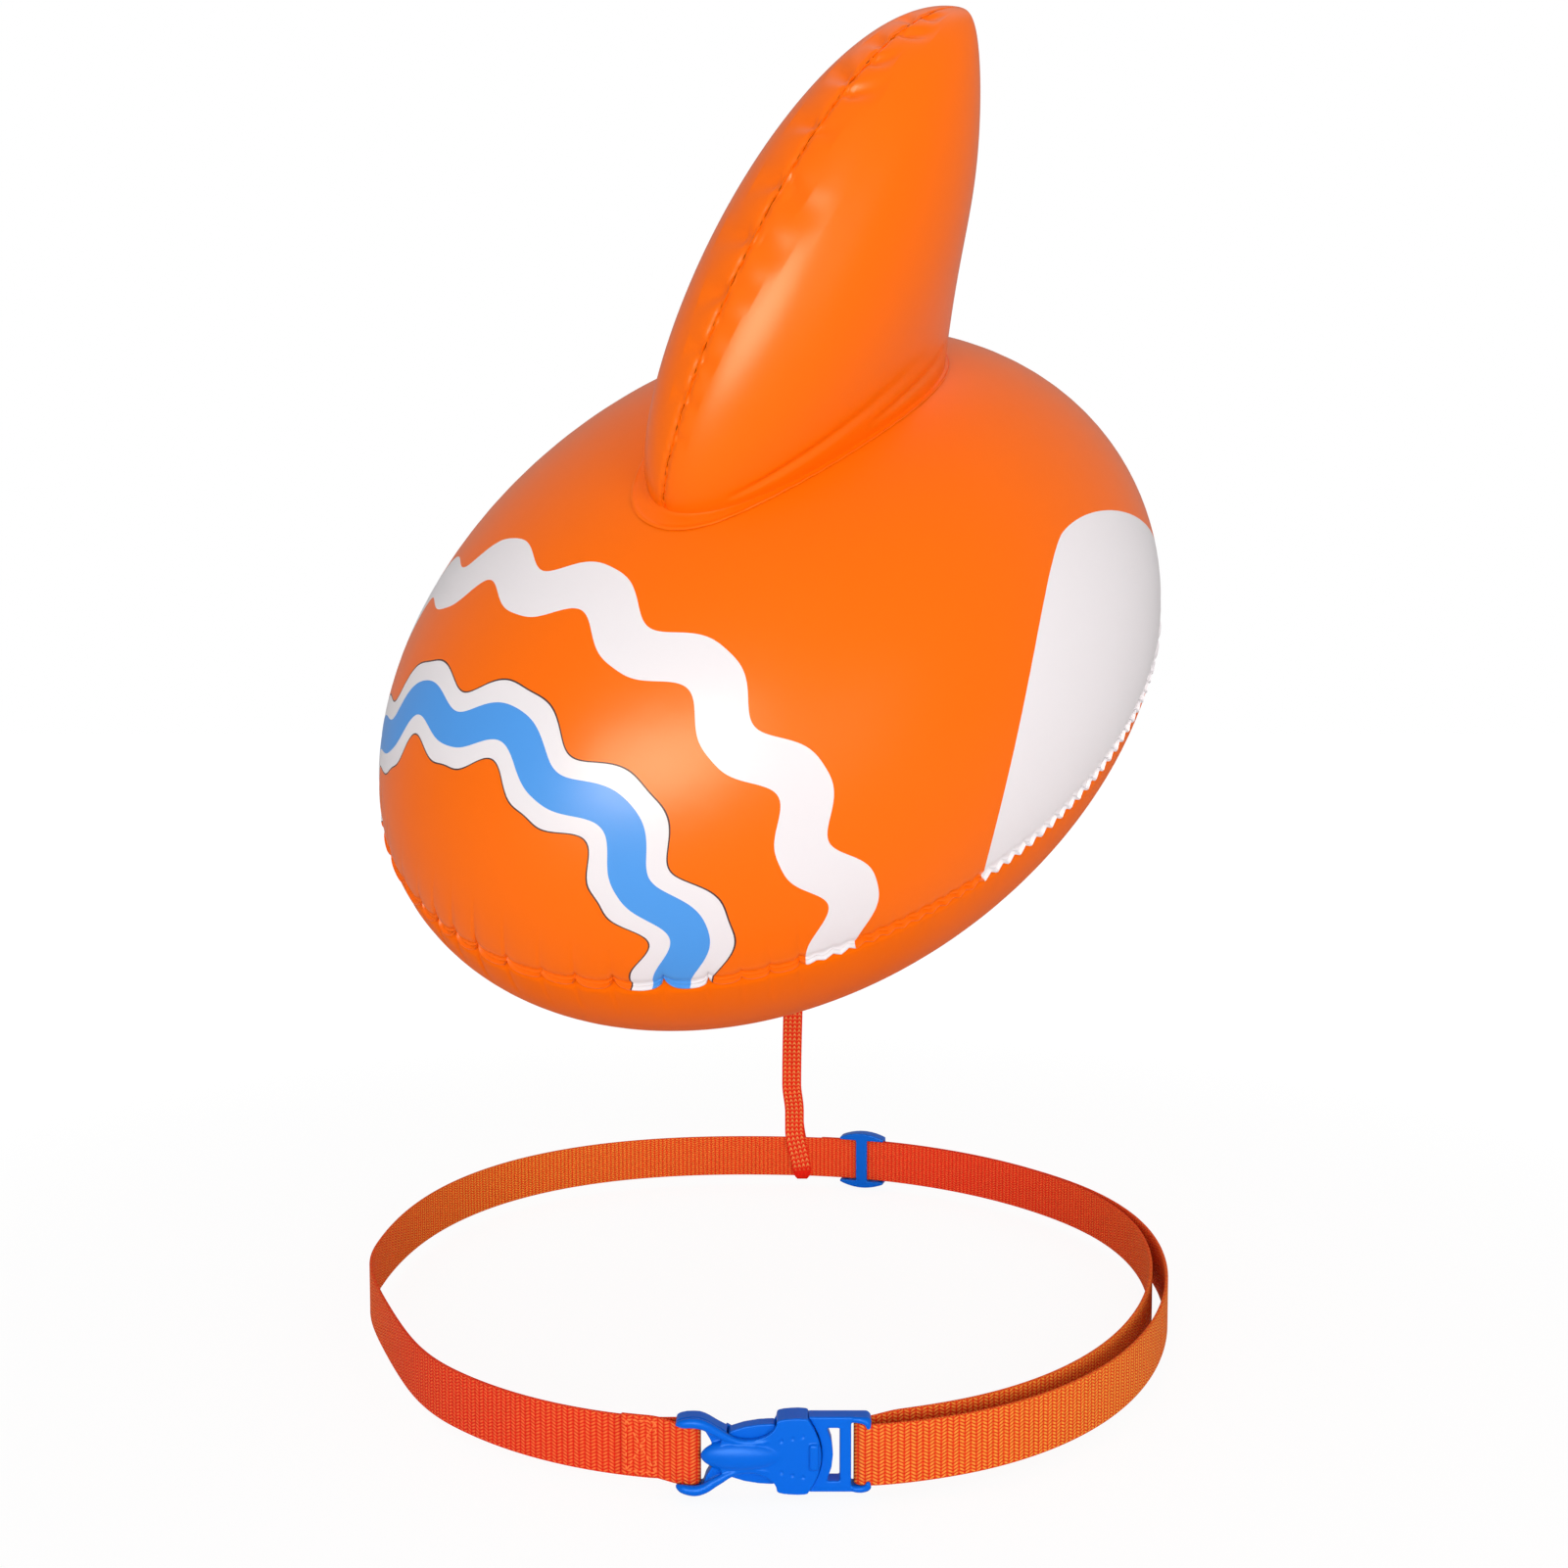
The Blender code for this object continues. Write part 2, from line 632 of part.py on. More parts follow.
lower_spot = Vector((BODY_VALVE_X, BODY_VALVE_Y,
                     -dome_height(BODY_VALVE_X, BODY_VALVE_Y, LOWER_RISE)))
lower_outward = dome_normal(BODY_VALVE_X, BODY_VALVE_Y, LOWER_RISE)
lower_outward.z = -lower_outward.z
valve("body", lower_panel, lower_spot, lower_outward)

fin_spot = fin_point(FIN_VALVE_ALONG_share, FIN_VALVE_UP_share, -1)
fin_step = 1 / (4 * FIN_ACROSS)
fin_rearward = (fin_point(FIN_VALVE_ALONG_share + fin_step, FIN_VALVE_UP_share, -1)
                - fin_point(FIN_VALVE_ALONG_share - fin_step, FIN_VALVE_UP_share, -1))
fin_upward = (fin_point(FIN_VALVE_ALONG_share, FIN_VALVE_UP_share + fin_step, -1)
              - fin_point(FIN_VALVE_ALONG_share, FIN_VALVE_UP_share - fin_step, -1))
valve("fin", fin_right_panel, fin_spot, fin_upward.cross(fin_rearward).normalized())


# Leash anchor: a round doubler under the body, and a bridge that the leash loops through
def anchor_patch():
    bm = bmesh.new()
    bmesh.ops.create_circle(bm, cap_ends=True, segments=PATCH_SEGMENTS, radius=PATCH_RADIUS)
    hub = bm.faces[:]
    for _ in range(PATCH_RINGS - 1):
        bmesh.ops.inset_region(bm, faces=hub, thickness=PATCH_RADIUS / PATCH_RINGS, use_boundary=True)
    for vert in bm.verts:
        x, y, _ = vert.co
        vert.co.z = -dome_height(x, y, LOWER_RISE) - SEAT_GAP
    face_along_z(bm, -1)
    item = mesh_object("anchor_patch", bm)
    solidify(item, PATCH_THICKNESS, 1.0)
    return place(item, ORANGE_WELD, buoy)


anchor_patch()


def anchor_bridge():
    """An arched strip with two feet on the patch, its arch across the leash's width."""
    half_span = LEASH_WIDTH / 2 + RUN_GAP
    foot_level = PATCH_THICKNESS + 2 * SEAT_GAP
    arch_level = foot_level + LEASH_THICKNESS + 2 * SEAT_GAP
    reach = half_span + BRIDGE_THICKNESS + BRIDGE_FOOT
    sag = (reach ** 2 - half_span ** 2) * LOWER_RISE / BODY_HALF_WIDTH ** 2 / 2
    inner = [(reach, foot_level - sag), (half_span, foot_level), (half_span, arch_level)]
    outer = [(half_span + BRIDGE_THICKNESS, arch_level + BRIDGE_THICKNESS),
             (half_span + BRIDGE_THICKNESS, foot_level + BRIDGE_THICKNESS),
             (reach, foot_level + BRIDGE_THICKNESS - sag)]
    section = inner + [(-x, z) for x, z in reversed(inner)]
    section += [(-x, z) for x, z in reversed(outer)] + outer
    item = outline_solid("anchor_bridge", [section], BRIDGE_WIDTH)
    across = buoy.matrix_world.to_3x3().inverted() @ Vector((1, 0, 0))
    across.z = 0
    across.normalize()
    down = Vector((0, 0, -1))
    turn = Matrix((across, down.cross(across), down)).transposed()
    return place(item, ORANGE_WELD, buoy, (0, 0, -dome_height(0, 0, LOWER_RISE)), turn)


anchor_bridge()

# Leash: one ribbon, sewn back on itself round the bridge above and round the belt below
anchor_point = buoy.matrix_world @ Vector((0, 0, -LOWER_RISE))
leash = ribbon("leash_strap", smooth_route(LEASH_ROUTE, LEASH_STEPS), LEASH_WIDTH, LEASH_THICKNESS)
leash_turn = Matrix(((0, 0, 1), (1, 0, 0), (0, 1, 0)))
place(leash, ORANGE_WEBBING, None, (anchor_point.x, 0, 0), leash_turn)


# Waist belt
FULL_TURN = 2 * math.pi


def loop_radius(angle):
    """Distance of the inner ply from the loop's centre."""
    shape = 1
    for centre, reach, depth in LOOP_BEND_shares:
        off = abs((angle - math.radians(centre) + math.pi) % FULL_TURN - math.pi)
        shape += depth * (1 + math.cos(math.pi * min(off / math.radians(reach), 1))) / 2
    return BELT_RADIUS * shape


def loop_point(angle, stand_off):
    reach = loop_radius(angle) + stand_off
    return Vector((reach * math.cos(angle), reach * math.sin(angle)))


def bar_place(bar_share):
    """Angle and stand-off, in the loop, of a webbing bar of the buckle."""
    x = BUCKLE_X + bar_share * BUCKLE_HALF_LENGTH
    angle = math.atan2(BUCKLE_Y, x)
    return angle, math.hypot(x, BUCKLE_Y) - loop_radius(angle)


def wrap(angle, stand_off, toward, first, last):
    """Half a turn round a bar, from one ply to the other."""
    centre = loop_point(angle, stand_off)
    radial = Vector((math.cos(angle), math.sin(angle)))
    tangent = Vector((-math.sin(angle), math.cos(angle))) * toward
    points = []
    for step in range(1, WRAP_STEPS):
        turn = first + (last - first) * step / WRAP_STEPS
        points.append(centre + radial * WRAP_RADIUS * math.cos(turn)
                      + tangent * WRAP_RADIUS * math.sin(turn))
    return points


def stations(first, last):
    """Evenly spaced angles from one to the other."""
    count = max(2, round(abs(last - first) / STATION_ANGLE))
    return [first + (last - first) * i / count for i in range(count + 1)]


female_angle, female_stand = bar_place(FEMALE_BAR_share)
male_angle, male_stand = bar_place(MALE_BAR_share)
fold_angle = female_angle - FOLD_LENGTH / BELT_RADIUS
split_gap = SEAT_GAP / BELT_RADIUS / 2


def near_bar(angle, bar_angle, bar_stand, rest_stand):
    """Stand-off of a ply that eases from a bar to its own line."""
    ease = smoothstep(abs(angle - bar_angle) / APPROACH_ANGLE)
    return bar_stand + (rest_stand - bar_stand) * ease


def outer_stand(angle):
    """Stand-off of the outer ply, which bows away from the inner one behind the buckle."""
    way = (angle - male_angle) / (PLY_MEET_ANGLE - male_angle)
    if way >= 1:
        return PLY_PITCH
    start = male_stand + WRAP_RADIUS - PLY_PITCH
    bow = OUTER_PLY_BULGE * math.sin(math.pi * max(way, 0.0) ** OUTER_PLY_SKEW_share)
    return PLY_PITCH + start * (1 - way) ** 2 + bow


def waist_strap_route():
    route = [loop_point(a, near_bar(a, female_angle, female_stand + WRAP_RADIUS, PLY_PITCH))
             for a in stations(fold_angle, female_angle)]
    route += wrap(female_angle, female_stand, 1, 0.0, math.pi)
    last = SPLIT_ANGLE - FULL_TURN + split_gap
    route += [loop_point(a, near_bar(a, female_angle, female_stand - WRAP_RADIUS, 0.0))
              for a in stations(female_angle, last)]
    return route


def front_loop_route():
    inner = [loop_point(a, near_bar(a, male_angle, male_stand - WRAP_RADIUS, 0.0))
             for a in stations(SPLIT_ANGLE - split_gap, male_angle)]
    turn = wrap(male_angle, male_stand, -1, math.pi, 0.0)
    outer = [loop_point(a, outer_stand(a)) for a in stations(male_angle, SPLIT_ANGLE - split_gap)]
    return inner + turn + outer


def tail_route():
    return [loop_point(a, outer_stand(a)) for a in stations(SPLIT_ANGLE + split_gap, TAIL_END_ANGLE)]


for strap_name, strap_route in (("waist_strap", waist_strap_route()),
                                ("strap_front_loop", front_loop_route()),
                                ("strap_tail", tail_route())):
    place(ribbon(strap_name, strap_route, BELT_WIDTH, BELT_THICKNESS), ORANGE_WEBBING)


# Slider: rails outside the webbing, centre bar inside it, bowed bands above and below
def slider():
    inner_face = -BELT_THICKNESS / 2 - SEAT_GAP
    outer_face = PLY_PITCH + BELT_THICKNESS / 2 + SEAT_GAP
    low = inner_face - SLIDER_BAR_THICKNESS
    high = outer_face + SLIDER_BAR_THICKNESS
    half = SLIDER_LENGTH / 2
    shoulder = INNER_HALF_HEIGHT + SLIDER_BAND * SLIDER_SHOULDER_share
    crown = INNER_HALF_HEIGHT + SLIDER_BAND
    outline = []
    for sign in (1, -1):
        for step in range(SLIDER_STEPS + 1):
            t = 1 - 2 * step / SLIDER_STEPS
            outline.append((sign * half * t, sign * (crown - (crown - shoulder) * t ** 2)))
    body = outline_solid("tri_glide", [outline], high - low)
    round_edges(body, SLIDER_EDGE_ROUND)
    shift = (low + high) / 2
    far = half + CUT_OVERRUN
    window = half - SLIDER_RAIL_WIDTH
    bar = SLIDER_BAR_WIDTH / 2
    inner = INNER_HALF_HEIGHT
    cuts = [((-far, inner_face - shift, -inner), (far, outer_face - shift, inner))]
    cuts.append(((-window, inner_face - shift, -inner), (window, high - shift + CUT_OVERRUN, inner)))
    for side in (1, -1):
        near_x, far_x = sorted((side * bar, side * far))
        cuts.append(((near_x, low - shift - CUT_OVERRUN, -inner), (far_x, outer_face - shift, inner)))
    for index, (corner, opposite) in enumerate(cuts):
        cutter = place(box("slider_cut_%d" % index, corner, opposite), tool=True)
        cutter.parent = body
        combine(body, cutter, "DIFFERENCE")
    axis = bpy.data.objects.new("slider_axis", None)
    TOOLS.objects.link(axis)
    axis.rotation_euler.z = SLIDER_ANGLE - math.pi / 2
    return place(body, BLUE_ACETAL, axis, (0, loop_radius(SLIDER_ANGLE) + shift, 0))


slider()


# Buckle
def buckle_point(x_share, z_share):
    return (x_share * BUCKLE_HALF_LENGTH, z_share * BUCKLE_HALF_HEIGHT)


def mouth_curve(offset):
    """The bowed split line between the halves, from top to bottom."""
    points = []
    for step in range(MOUTH_STEPS + 1):
        height = 1 - 2 * step / MOUTH_STEPS
        x = (MOUTH_share - MOUTH_BOW_share * height ** 2) * BUCKLE_HALF_LENGTH + offset
        points.append((x, height * BUCKLE_HALF_HEIGHT))
    return points


def mirrored(points):
    """The same points below the middle line, in reverse order."""
    return [(x, -z) for x, z in reversed(points)]


buckle_place = (BUCKLE_X, BUCKLE_Y, 0)


def buckle_tool(item, target, operation):
    place(item, None, None, buckle_place, tool=True)
    combine(target, item, operation)


def buckle_female():
    """The housing half: yoke and bar at the left, windows above and below, mouth at the right."""
    upper = [buckle_point(*p) for p in HOUSING_shares]
    housing = upper + mouth_curve(0.0)[1:-1] + mirrored(upper)[:-1]
    body = outline_solid("buckle_female", [housing], FEMALE_THICKNESS)
    round_edges(body, BUCKLE_EDGE_ROUND)

    arm = [buckle_point(*p) for p in YOKE_OUTER_shares]
    edge_x = arm[0][0]
    corner = (YOKE_CORNER_share * BUCKLE_HALF_LENGTH, INNER_HALF_HEIGHT)
    inner = [(edge_x, INNER_HALF_HEIGHT), corner] + [buckle_point(*p) for p in YOKE_INNER_shares]
    yoke_outline = arm + mirrored(arm) + [(x, -z) for x, z in inner] + inner[::-1]
    yoke = outline_solid("yoke", [yoke_outline], YOKE_THICKNESS)
    round_edges(yoke, BUCKLE_EDGE_ROUND)
    buckle_tool(yoke, body, "UNION")

    bar = cylinder("female_bar", BAR_RADIUS, -INNER_HALF_HEIGHT - BUCKLE_ARM / 2,
                   INNER_HALF_HEIGHT + BUCKLE_ARM / 2)
    bar.data.transform(Matrix.Translation((FEMALE_BAR_share * BUCKLE_HALF_LENGTH, 0, 0)))
    buckle_tool(bar, body, "UNION")

    front = -FEMALE_THICKNESS / 2
    spine = ellipsoid("spine", (SPINE_CENTRE_share * BUCKLE_HALF_LENGTH,
                                front + SPINE_DEPTH - SPINE_PROUD, 0),
                      (SPINE_HALF_LENGTH_share * BUCKLE_HALF_LENGTH, SPINE_DEPTH,
                       SPINE_HALF_WIDTH))
    buckle_tool(spine, body, "UNION")

    rib_half = RIB_HALF_HEIGHT_share * BUCKLE_HALF_HEIGHT
    rib = box("mouth_rib", (RIB_FROM_share * BUCKLE_HALF_LENGTH, front - RIB_PROUD, -rib_half),
              (RIB_TO_share * BUCKLE_HALF_LENGTH, front + RIB_PROUD, rib_half))
    round_edges(rib, RIB_PROUD / 2)
    buckle_tool(rib, body, "UNION")

    chamber = [buckle_point(*p) for p in CAVITY_shares]
    cavity = outline_solid("cavity", [chamber + mirrored(chamber)], CAVITY_THICKNESS)
    buckle_tool(cavity, body, "DIFFERENCE")

    for side in (1, -1):
        window = []
        for step in range(WINDOW_STEPS):
            turn = FULL_TURN * step / WINDOW_STEPS
            window.append((
                (WINDOW_CENTRE_share + WINDOW_HALF_LENGTH_share * math.cos(turn)) * BUCKLE_HALF_LENGTH,
                side * (WINDOW_TOP_share + WINDOW_DEPTH_share * math.sin(turn)) * BUCKLE_HALF_HEIGHT))
        cutter = outline_solid("window_%d" % side, [window], FEMALE_THICKNESS + CUT_OVERRUN)
        buckle_tool(cutter, body, "DIFFERENCE")
        for index, (x_share, z_share) in enumerate(DIMPLE_shares):
            x, z = buckle_point(x_share, side * z_share)
            dimple = ellipsoid("dimple_%d_%d" % (side, index), (x, front - DIMPLE_LIFT, z),
                               (DIMPLE_RADIUS, DIMPLE_RADIUS, DIMPLE_RADIUS),
                               DIMPLE_STEPS, DIMPLE_RINGS)
            buckle_tool(dimple, body, "DIFFERENCE")
    return place(body, BLUE_ACETAL, None, buckle_place)


def buckle_male():
    """The clip half: frame with its slots and bar, and the centre tongue."""
    right = BUCKLE_HALF_LENGTH
    top = BUCKLE_HALF_HEIGHT
    bar_edge = MIDDLE_BAR_TO_share * BUCKLE_HALF_LENGTH
    round_x = right - BUCKLE_ARM
    corner = []
    for step in range(CORNER_STEPS):
        turn = math.pi / 2 * step / CORNER_STEPS
        corner.append((round_x + BUCKLE_ARM * math.sin(turn),
                       top - BUCKLE_ARM + BUCKLE_ARM * math.cos(turn)))
    arm = corner + [(right, INNER_HALF_HEIGHT), (bar_edge, INNER_HALF_HEIGHT)]
    frame_outline = arm + mirrored(arm) + mouth_curve(SEAT_GAP)[::-1]
    slot_left = [buckle_point(*p) for p in SLOT_shares]
    slot_edge = MIDDLE_BAR_FROM_share * BUCKLE_HALF_LENGTH
    slot = slot_left + mirrored(slot_left)[1:] + [(slot_edge, -slot_left[0][1]),
                                                 (slot_edge, slot_left[0][1])]
    body = outline_solid("buckle_male", [frame_outline, slot], FRAME_THICKNESS)
    round_edges(body, BUCKLE_EDGE_ROUND / 2)
    bar = cylinder("male_bar", BAR_RADIUS, -INNER_HALF_HEIGHT - BUCKLE_ARM / 2,
                   INNER_HALF_HEIGHT + BUCKLE_ARM / 2)
    bar.data.transform(Matrix.Translation((MALE_BAR_share * BUCKLE_HALF_LENGTH, 0, 0)))
    buckle_tool(bar, body, "UNION")
    tongue = box("tongue", (TONGUE_END_share * BUCKLE_HALF_LENGTH, -TONGUE_THICKNESS / 2,
                            -TONGUE_HALF_WIDTH),
                 (SLOT_shares[0][0] * BUCKLE_HALF_LENGTH, TONGUE_THICKNESS / 2, TONGUE_HALF_WIDTH))
    round_edges(tongue, BUCKLE_EDGE_ROUND / 2)
    buckle_tool(tongue, body, "UNION")
    return place(body, BLUE_ACETAL, None, buckle_place)


def prong(name, side):
    """A springy latch arm with its press pad, turned about its root."""
    pivot_x = PRONG_ROOT_share * BUCKLE_HALF_LENGTH
    pivot_z = side * PRONG_PIVOT_HEIGHT_share * BUCKLE_HALF_HEIGHT
    outline = []
    for x_share, z_share in PRONG_shares:
        x, z = buckle_point(x_share, side * z_share)
        outline.append((x - pivot_x, z - pivot_z))
    body = outline_solid(name, [outline], PRONG_THICKNESS)
    round_edges(body, BUCKLE_EDGE_ROUND / 2)
    return place(body, BLUE_ACETAL, None,
                 (BUCKLE_X + pivot_x, BUCKLE_Y, pivot_z))


buckle_female()
buckle_male()
prong("prong_upper", 1)
prong("prong_lower", -1)
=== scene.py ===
# %% [markdown]
# # An open water swim buoy, dressed for its portrait
#
# The CAD model gives every solid its place. This lesson puts the look on top of it: welded vinyl
# with puckered seams, printed wave bands, woven webbing with its stitches, and moulded clips.
# Everything is in metres. The origin is the centre of the waist belt, and the float hangs above it.

# %% Load the CAD frame
import math

import bpy
import numpy as np
from mathutils import Matrix, Vector


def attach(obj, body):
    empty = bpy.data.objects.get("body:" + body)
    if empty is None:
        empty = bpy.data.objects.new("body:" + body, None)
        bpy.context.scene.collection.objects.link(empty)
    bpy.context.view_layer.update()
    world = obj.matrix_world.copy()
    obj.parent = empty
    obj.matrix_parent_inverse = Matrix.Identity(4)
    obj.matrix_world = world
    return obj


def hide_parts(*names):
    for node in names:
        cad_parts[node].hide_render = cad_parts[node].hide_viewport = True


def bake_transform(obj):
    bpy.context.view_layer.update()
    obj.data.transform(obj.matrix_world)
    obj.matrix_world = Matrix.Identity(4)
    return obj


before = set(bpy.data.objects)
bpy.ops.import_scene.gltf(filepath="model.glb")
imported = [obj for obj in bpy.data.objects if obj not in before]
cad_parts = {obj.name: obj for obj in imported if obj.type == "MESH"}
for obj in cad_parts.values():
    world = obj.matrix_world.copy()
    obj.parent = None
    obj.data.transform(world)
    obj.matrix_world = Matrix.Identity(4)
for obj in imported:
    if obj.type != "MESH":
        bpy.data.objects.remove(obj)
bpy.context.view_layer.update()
ROOT = "float_and_belt"
CLIP = "clip_half"
print("CAD nodes:", len(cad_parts))

# %% [markdown]
# ## Small helpers
#
# Blender's operators act on whatever is selected, so everything is deselected before each one.
# Soft shapes are sums of simple curves: `smoothstep` eases from 0 to 1, `hill` is a smooth bump,
# and `fade` falls off from its start.

# %% Selection, modifiers and vertices
MERGE = 0.00001
WIDE_MERGE = 0.00002


def deselect():
    for other in bpy.context.selected_objects:
        other.select_set(False)


def only(item):
    """Select one object, and nothing else."""
    deselect()
    item.select_set(True)
    bpy.context.view_layer.objects.active = item
    return item


def link(item):
    bpy.context.scene.collection.objects.link(item)
    return item


def copy_of(item):
    """A copy with its own mesh."""
    twin = item.copy()
    twin.data = item.data.copy()
    return link(twin)


def join(pieces):
    """Join the pieces into the first one."""
    deselect()
    for piece in pieces:
        piece.select_set(True)
    bpy.context.view_layer.objects.active = pieces[0]
    bpy.ops.object.join()
    return bpy.context.object


def in_edit_mode(item, operator, **settings):
    """Run one operator in edit mode on the whole mesh."""
    only(item)
    bpy.ops.object.mode_set(mode="EDIT")
    bpy.ops.mesh.select_all(action="SELECT")
    operator(**settings)
    bpy.ops.object.mode_set(mode="OBJECT")


def apply_modifier(item, kind, **settings):
    """Add a modifier with its settings and apply it at once."""
    only(item)
    modifier = item.modifiers.new(kind.lower(), kind)
    for key, value in settings.items():
        setattr(modifier, key, value)
    bpy.ops.object.modifier_apply(modifier=modifier.name)


def places(item):
    """The vertices of a mesh as an array."""
    flat = np.zeros(len(item.data.vertices) * 3)
    item.data.vertices.foreach_get("co", flat)
    return flat.reshape(-1, 3)


def move_to(item, points):
    item.data.vertices.foreach_set("co", np.ascontiguousarray(points, dtype=np.float64).ravel())
    item.data.update()


def smooth(item, degrees=60):
    only(item)
    bpy.ops.object.shade_smooth_by_angle(angle=math.radians(degrees))


def ready(item, name, finish, body=ROOT, stands_for=()):
    """Name a finished piece, give it its material, and let it ride on a body."""
    item.name = name
    item.data.name = name
    item.data.materials.clear()
    item.data.materials.append(finish)
    if body:
        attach(item, body)
    if stands_for:
        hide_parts(*stands_for)
    print("%-24s %7d vertices" % (name, len(item.data.vertices)))
    return item


def smoothstep(t):
    t = np.clip(t, 0.0, 1.0)
    return t * t * (3 - 2 * t)


def hill(distance, reach):
    return np.exp(-(distance / reach) ** 2)


def fade(distance, reach):
    return np.exp(-distance / reach)


def unit(vectors):
    return vectors / np.linalg.norm(vectors, axis=1)[:, None]


# %% [markdown]
# ## Camera
#
# The lens and the place were fitted to the photograph: a 38.7 mm lens at 0.31 m above the belt,
# looking along +Y and 3.8 degrees down.

# %% Place the camera
LENS = 38.68
CAMERA_PLACE = (0.008, -0.860, 0.310)
CAMERA_DIP = 3.8

camera_data = bpy.data.cameras.new("photo_camera")
camera_data.lens = LENS
camera_data.sensor_width = 36.0
camera_data.clip_start = 0.01
camera = link(bpy.data.objects.new("photo_camera", camera_data))
camera.location = CAMERA_PLACE
camera.rotation_euler = (math.radians(90 - CAMERA_DIP), 0, 0)
bpy.context.scene.camera = camera
print("camera: %.1f mm lens" % LENS)

# %% [markdown]
# ## Tools for materials
#
# A material is a tree of shader nodes, and `add` makes one of them: an input that is a socket or a
# node is linked, anything else is set. `calc` makes the Math node for one step of a formula.
# `linear` turns sRGB hex colours into the linear numbers that a shader adds up.

# %% Nodes, sums and colours


def linear(hex_colour):
    """An sRGB hex colour as linear numbers, by the sRGB standard's own curve."""
    out = []
    for index in (0, 2, 4):
        value = int(hex_colour[index:index + 2], 16) / 255
        out.append(value / 12.92 if value <= 0.04045 else ((value + 0.055) / 1.055) ** 2.4)
    return (*out, 1.0)


def add(tree, kind, *inputs, **settings):
    """One shader node. Its inputs come in order, or by name in a dict. A node gives its first output."""
    node = tree.nodes.new("ShaderNode" + kind)
    for key, value in settings.items():
        setattr(node, key, value)
    named = inputs[0] if inputs and isinstance(inputs[0], dict) else dict(enumerate(inputs))
    for key, value in named.items():
        if isinstance(value, bpy.types.Node):
            value = value.outputs[0]
        if isinstance(value, bpy.types.NodeSocket):
            tree.links.new(value, node.inputs[key])
        else:
            node.inputs[key].default_value = value
    return node


def calc(tree, operation, *values):
    """One sum of a formula."""
    return add(tree, "Math", *values, operation=operation)


def power(tree, value, exponent):
    """A power of a value's size, whatever its sign."""
    return calc(tree, "POWER", calc(tree, "ABSOLUTE", value), exponent)


def paint(tree, under, mask, colour):
    """One colour over another where a mask is 1."""
    return add(tree, "Mix", {0: mask, 6: under, 7: linear(colour)}, data_type="RGBA").outputs[2]


def new_material(name, colour, roughness, **sockets):
    finish = bpy.data.materials.new(name)
    finish.use_nodes = True
    shader = finish.node_tree.nodes["Principled BSDF"]
    shader.inputs["Base Color"].default_value = linear(colour)
    shader.inputs["Roughness"].default_value = roughness
    for key, value in sockets.items():
        shader.inputs[key.replace("_", " ")].default_value = value
    return finish, finish.node_tree, shader


def noise_bump(tree, shader, size, height):
    """A fine irregular relief of a real size and height."""
    where = add(tree, "TexCoord").outputs["Object"]
    noise = add(tree, "TexNoise", {"Vector": where, "Scale": 1 / size, "Detail": 3.0})
    bump = add(tree, "Bump", {"Height": noise, "Distance": height, "Strength": 1.0})
    tree.links.new(bump.outputs["Normal"], shader.inputs["Normal"])


# %% [markdown]
# ## Plain finishes
#
# The float is soft PVC film, rolled to a satin face with the faintest waves, so its glints are
# broad and soft. The buckle is moulded acetal, dense and half glossy. Each could be one flat
# colour, but a relief of a real size, such as 12 mm waves a tenth of a millimetre high, bends the
# glints as the real surface does.

# %% Film, weld, clear vinyl, acetal and thread
ORANGE = "FF6E00"
VINYL_GLINT = (1.0, 0.80, 0.55, 1.0)
ACETAL_GLINT = (0.25, 0.55, 1.0, 1.0)
FILM_WAVE = 0.012
FILM_WAVE_HEIGHT = 0.00010


def film_finish(name, roughness=0.31, glint=0.34):
    """Satin film: warm glints, as light comes back from just under its face."""
    finish, tree, shader = new_material(name, ORANGE, roughness, Specular_IOR_Level=glint,
                                        Specular_Tint=VINYL_GLINT)
    noise_bump(tree, shader, FILM_WAVE, FILM_WAVE_HEIGHT)
    return finish, tree, shader


vinyl = film_finish("orange_vinyl")[0]

# The underside faces the floor and shows hardly a glint, so it is rougher and reflects less.
under = film_finish("under_vinyl", roughness=0.45, glint=0.06)[0]

# The press leaves a fine grain of 1.5 mm where the film is welded.
weld, tree, shader = new_material("orange_weld", "FA6C00", 0.38, Specular_IOR_Level=0.14,
                                  Specular_Tint=VINYL_GLINT)
noise_bump(tree, shader, 0.0015, 0.00006)

# Unpigmented vinyl lets some light through, which gives it a milky depth.
clear, tree, shader = new_material("clear_vinyl", "F2E6DA", 0.22, Transmission_Weight=0.35, IOR=1.53)
noise_bump(tree, shader, 0.004, 0.00004)

# Moulded acetal takes the spark-eroded mould's texture, about a millimetre wide here to show.
acetal, tree, shader = new_material("blue_acetal", "0067DE", 0.34, Specular_IOR_Level=0.30,
                                    Specular_Tint=ACETAL_GLINT)
noise_bump(tree, shader, 0.0012, 0.00002)

# Polyester sewing thread: matt, with its twist as a fine relief.
thread, tree, shader = new_material("orange_thread", "FF7A28", 0.7)
noise_bump(tree, shader, 0.0004, 0.00005)
print("finishes:", vinyl.name, under.name, weld.name, clear.name, acetal.name, thread.name)

# %% [markdown]
# ## The print
#
# The film is printed before it is welded, so the bands follow the skin. An image could carry them,
# but formulas stay sharp at any distance. They use the float's own frame: x to the nose, y to its
# left, z through the fin. A wave band is all that lies within half its width of a wavy line over
# the nose. The flank patch is a flattened arch whose foot is on the seam.

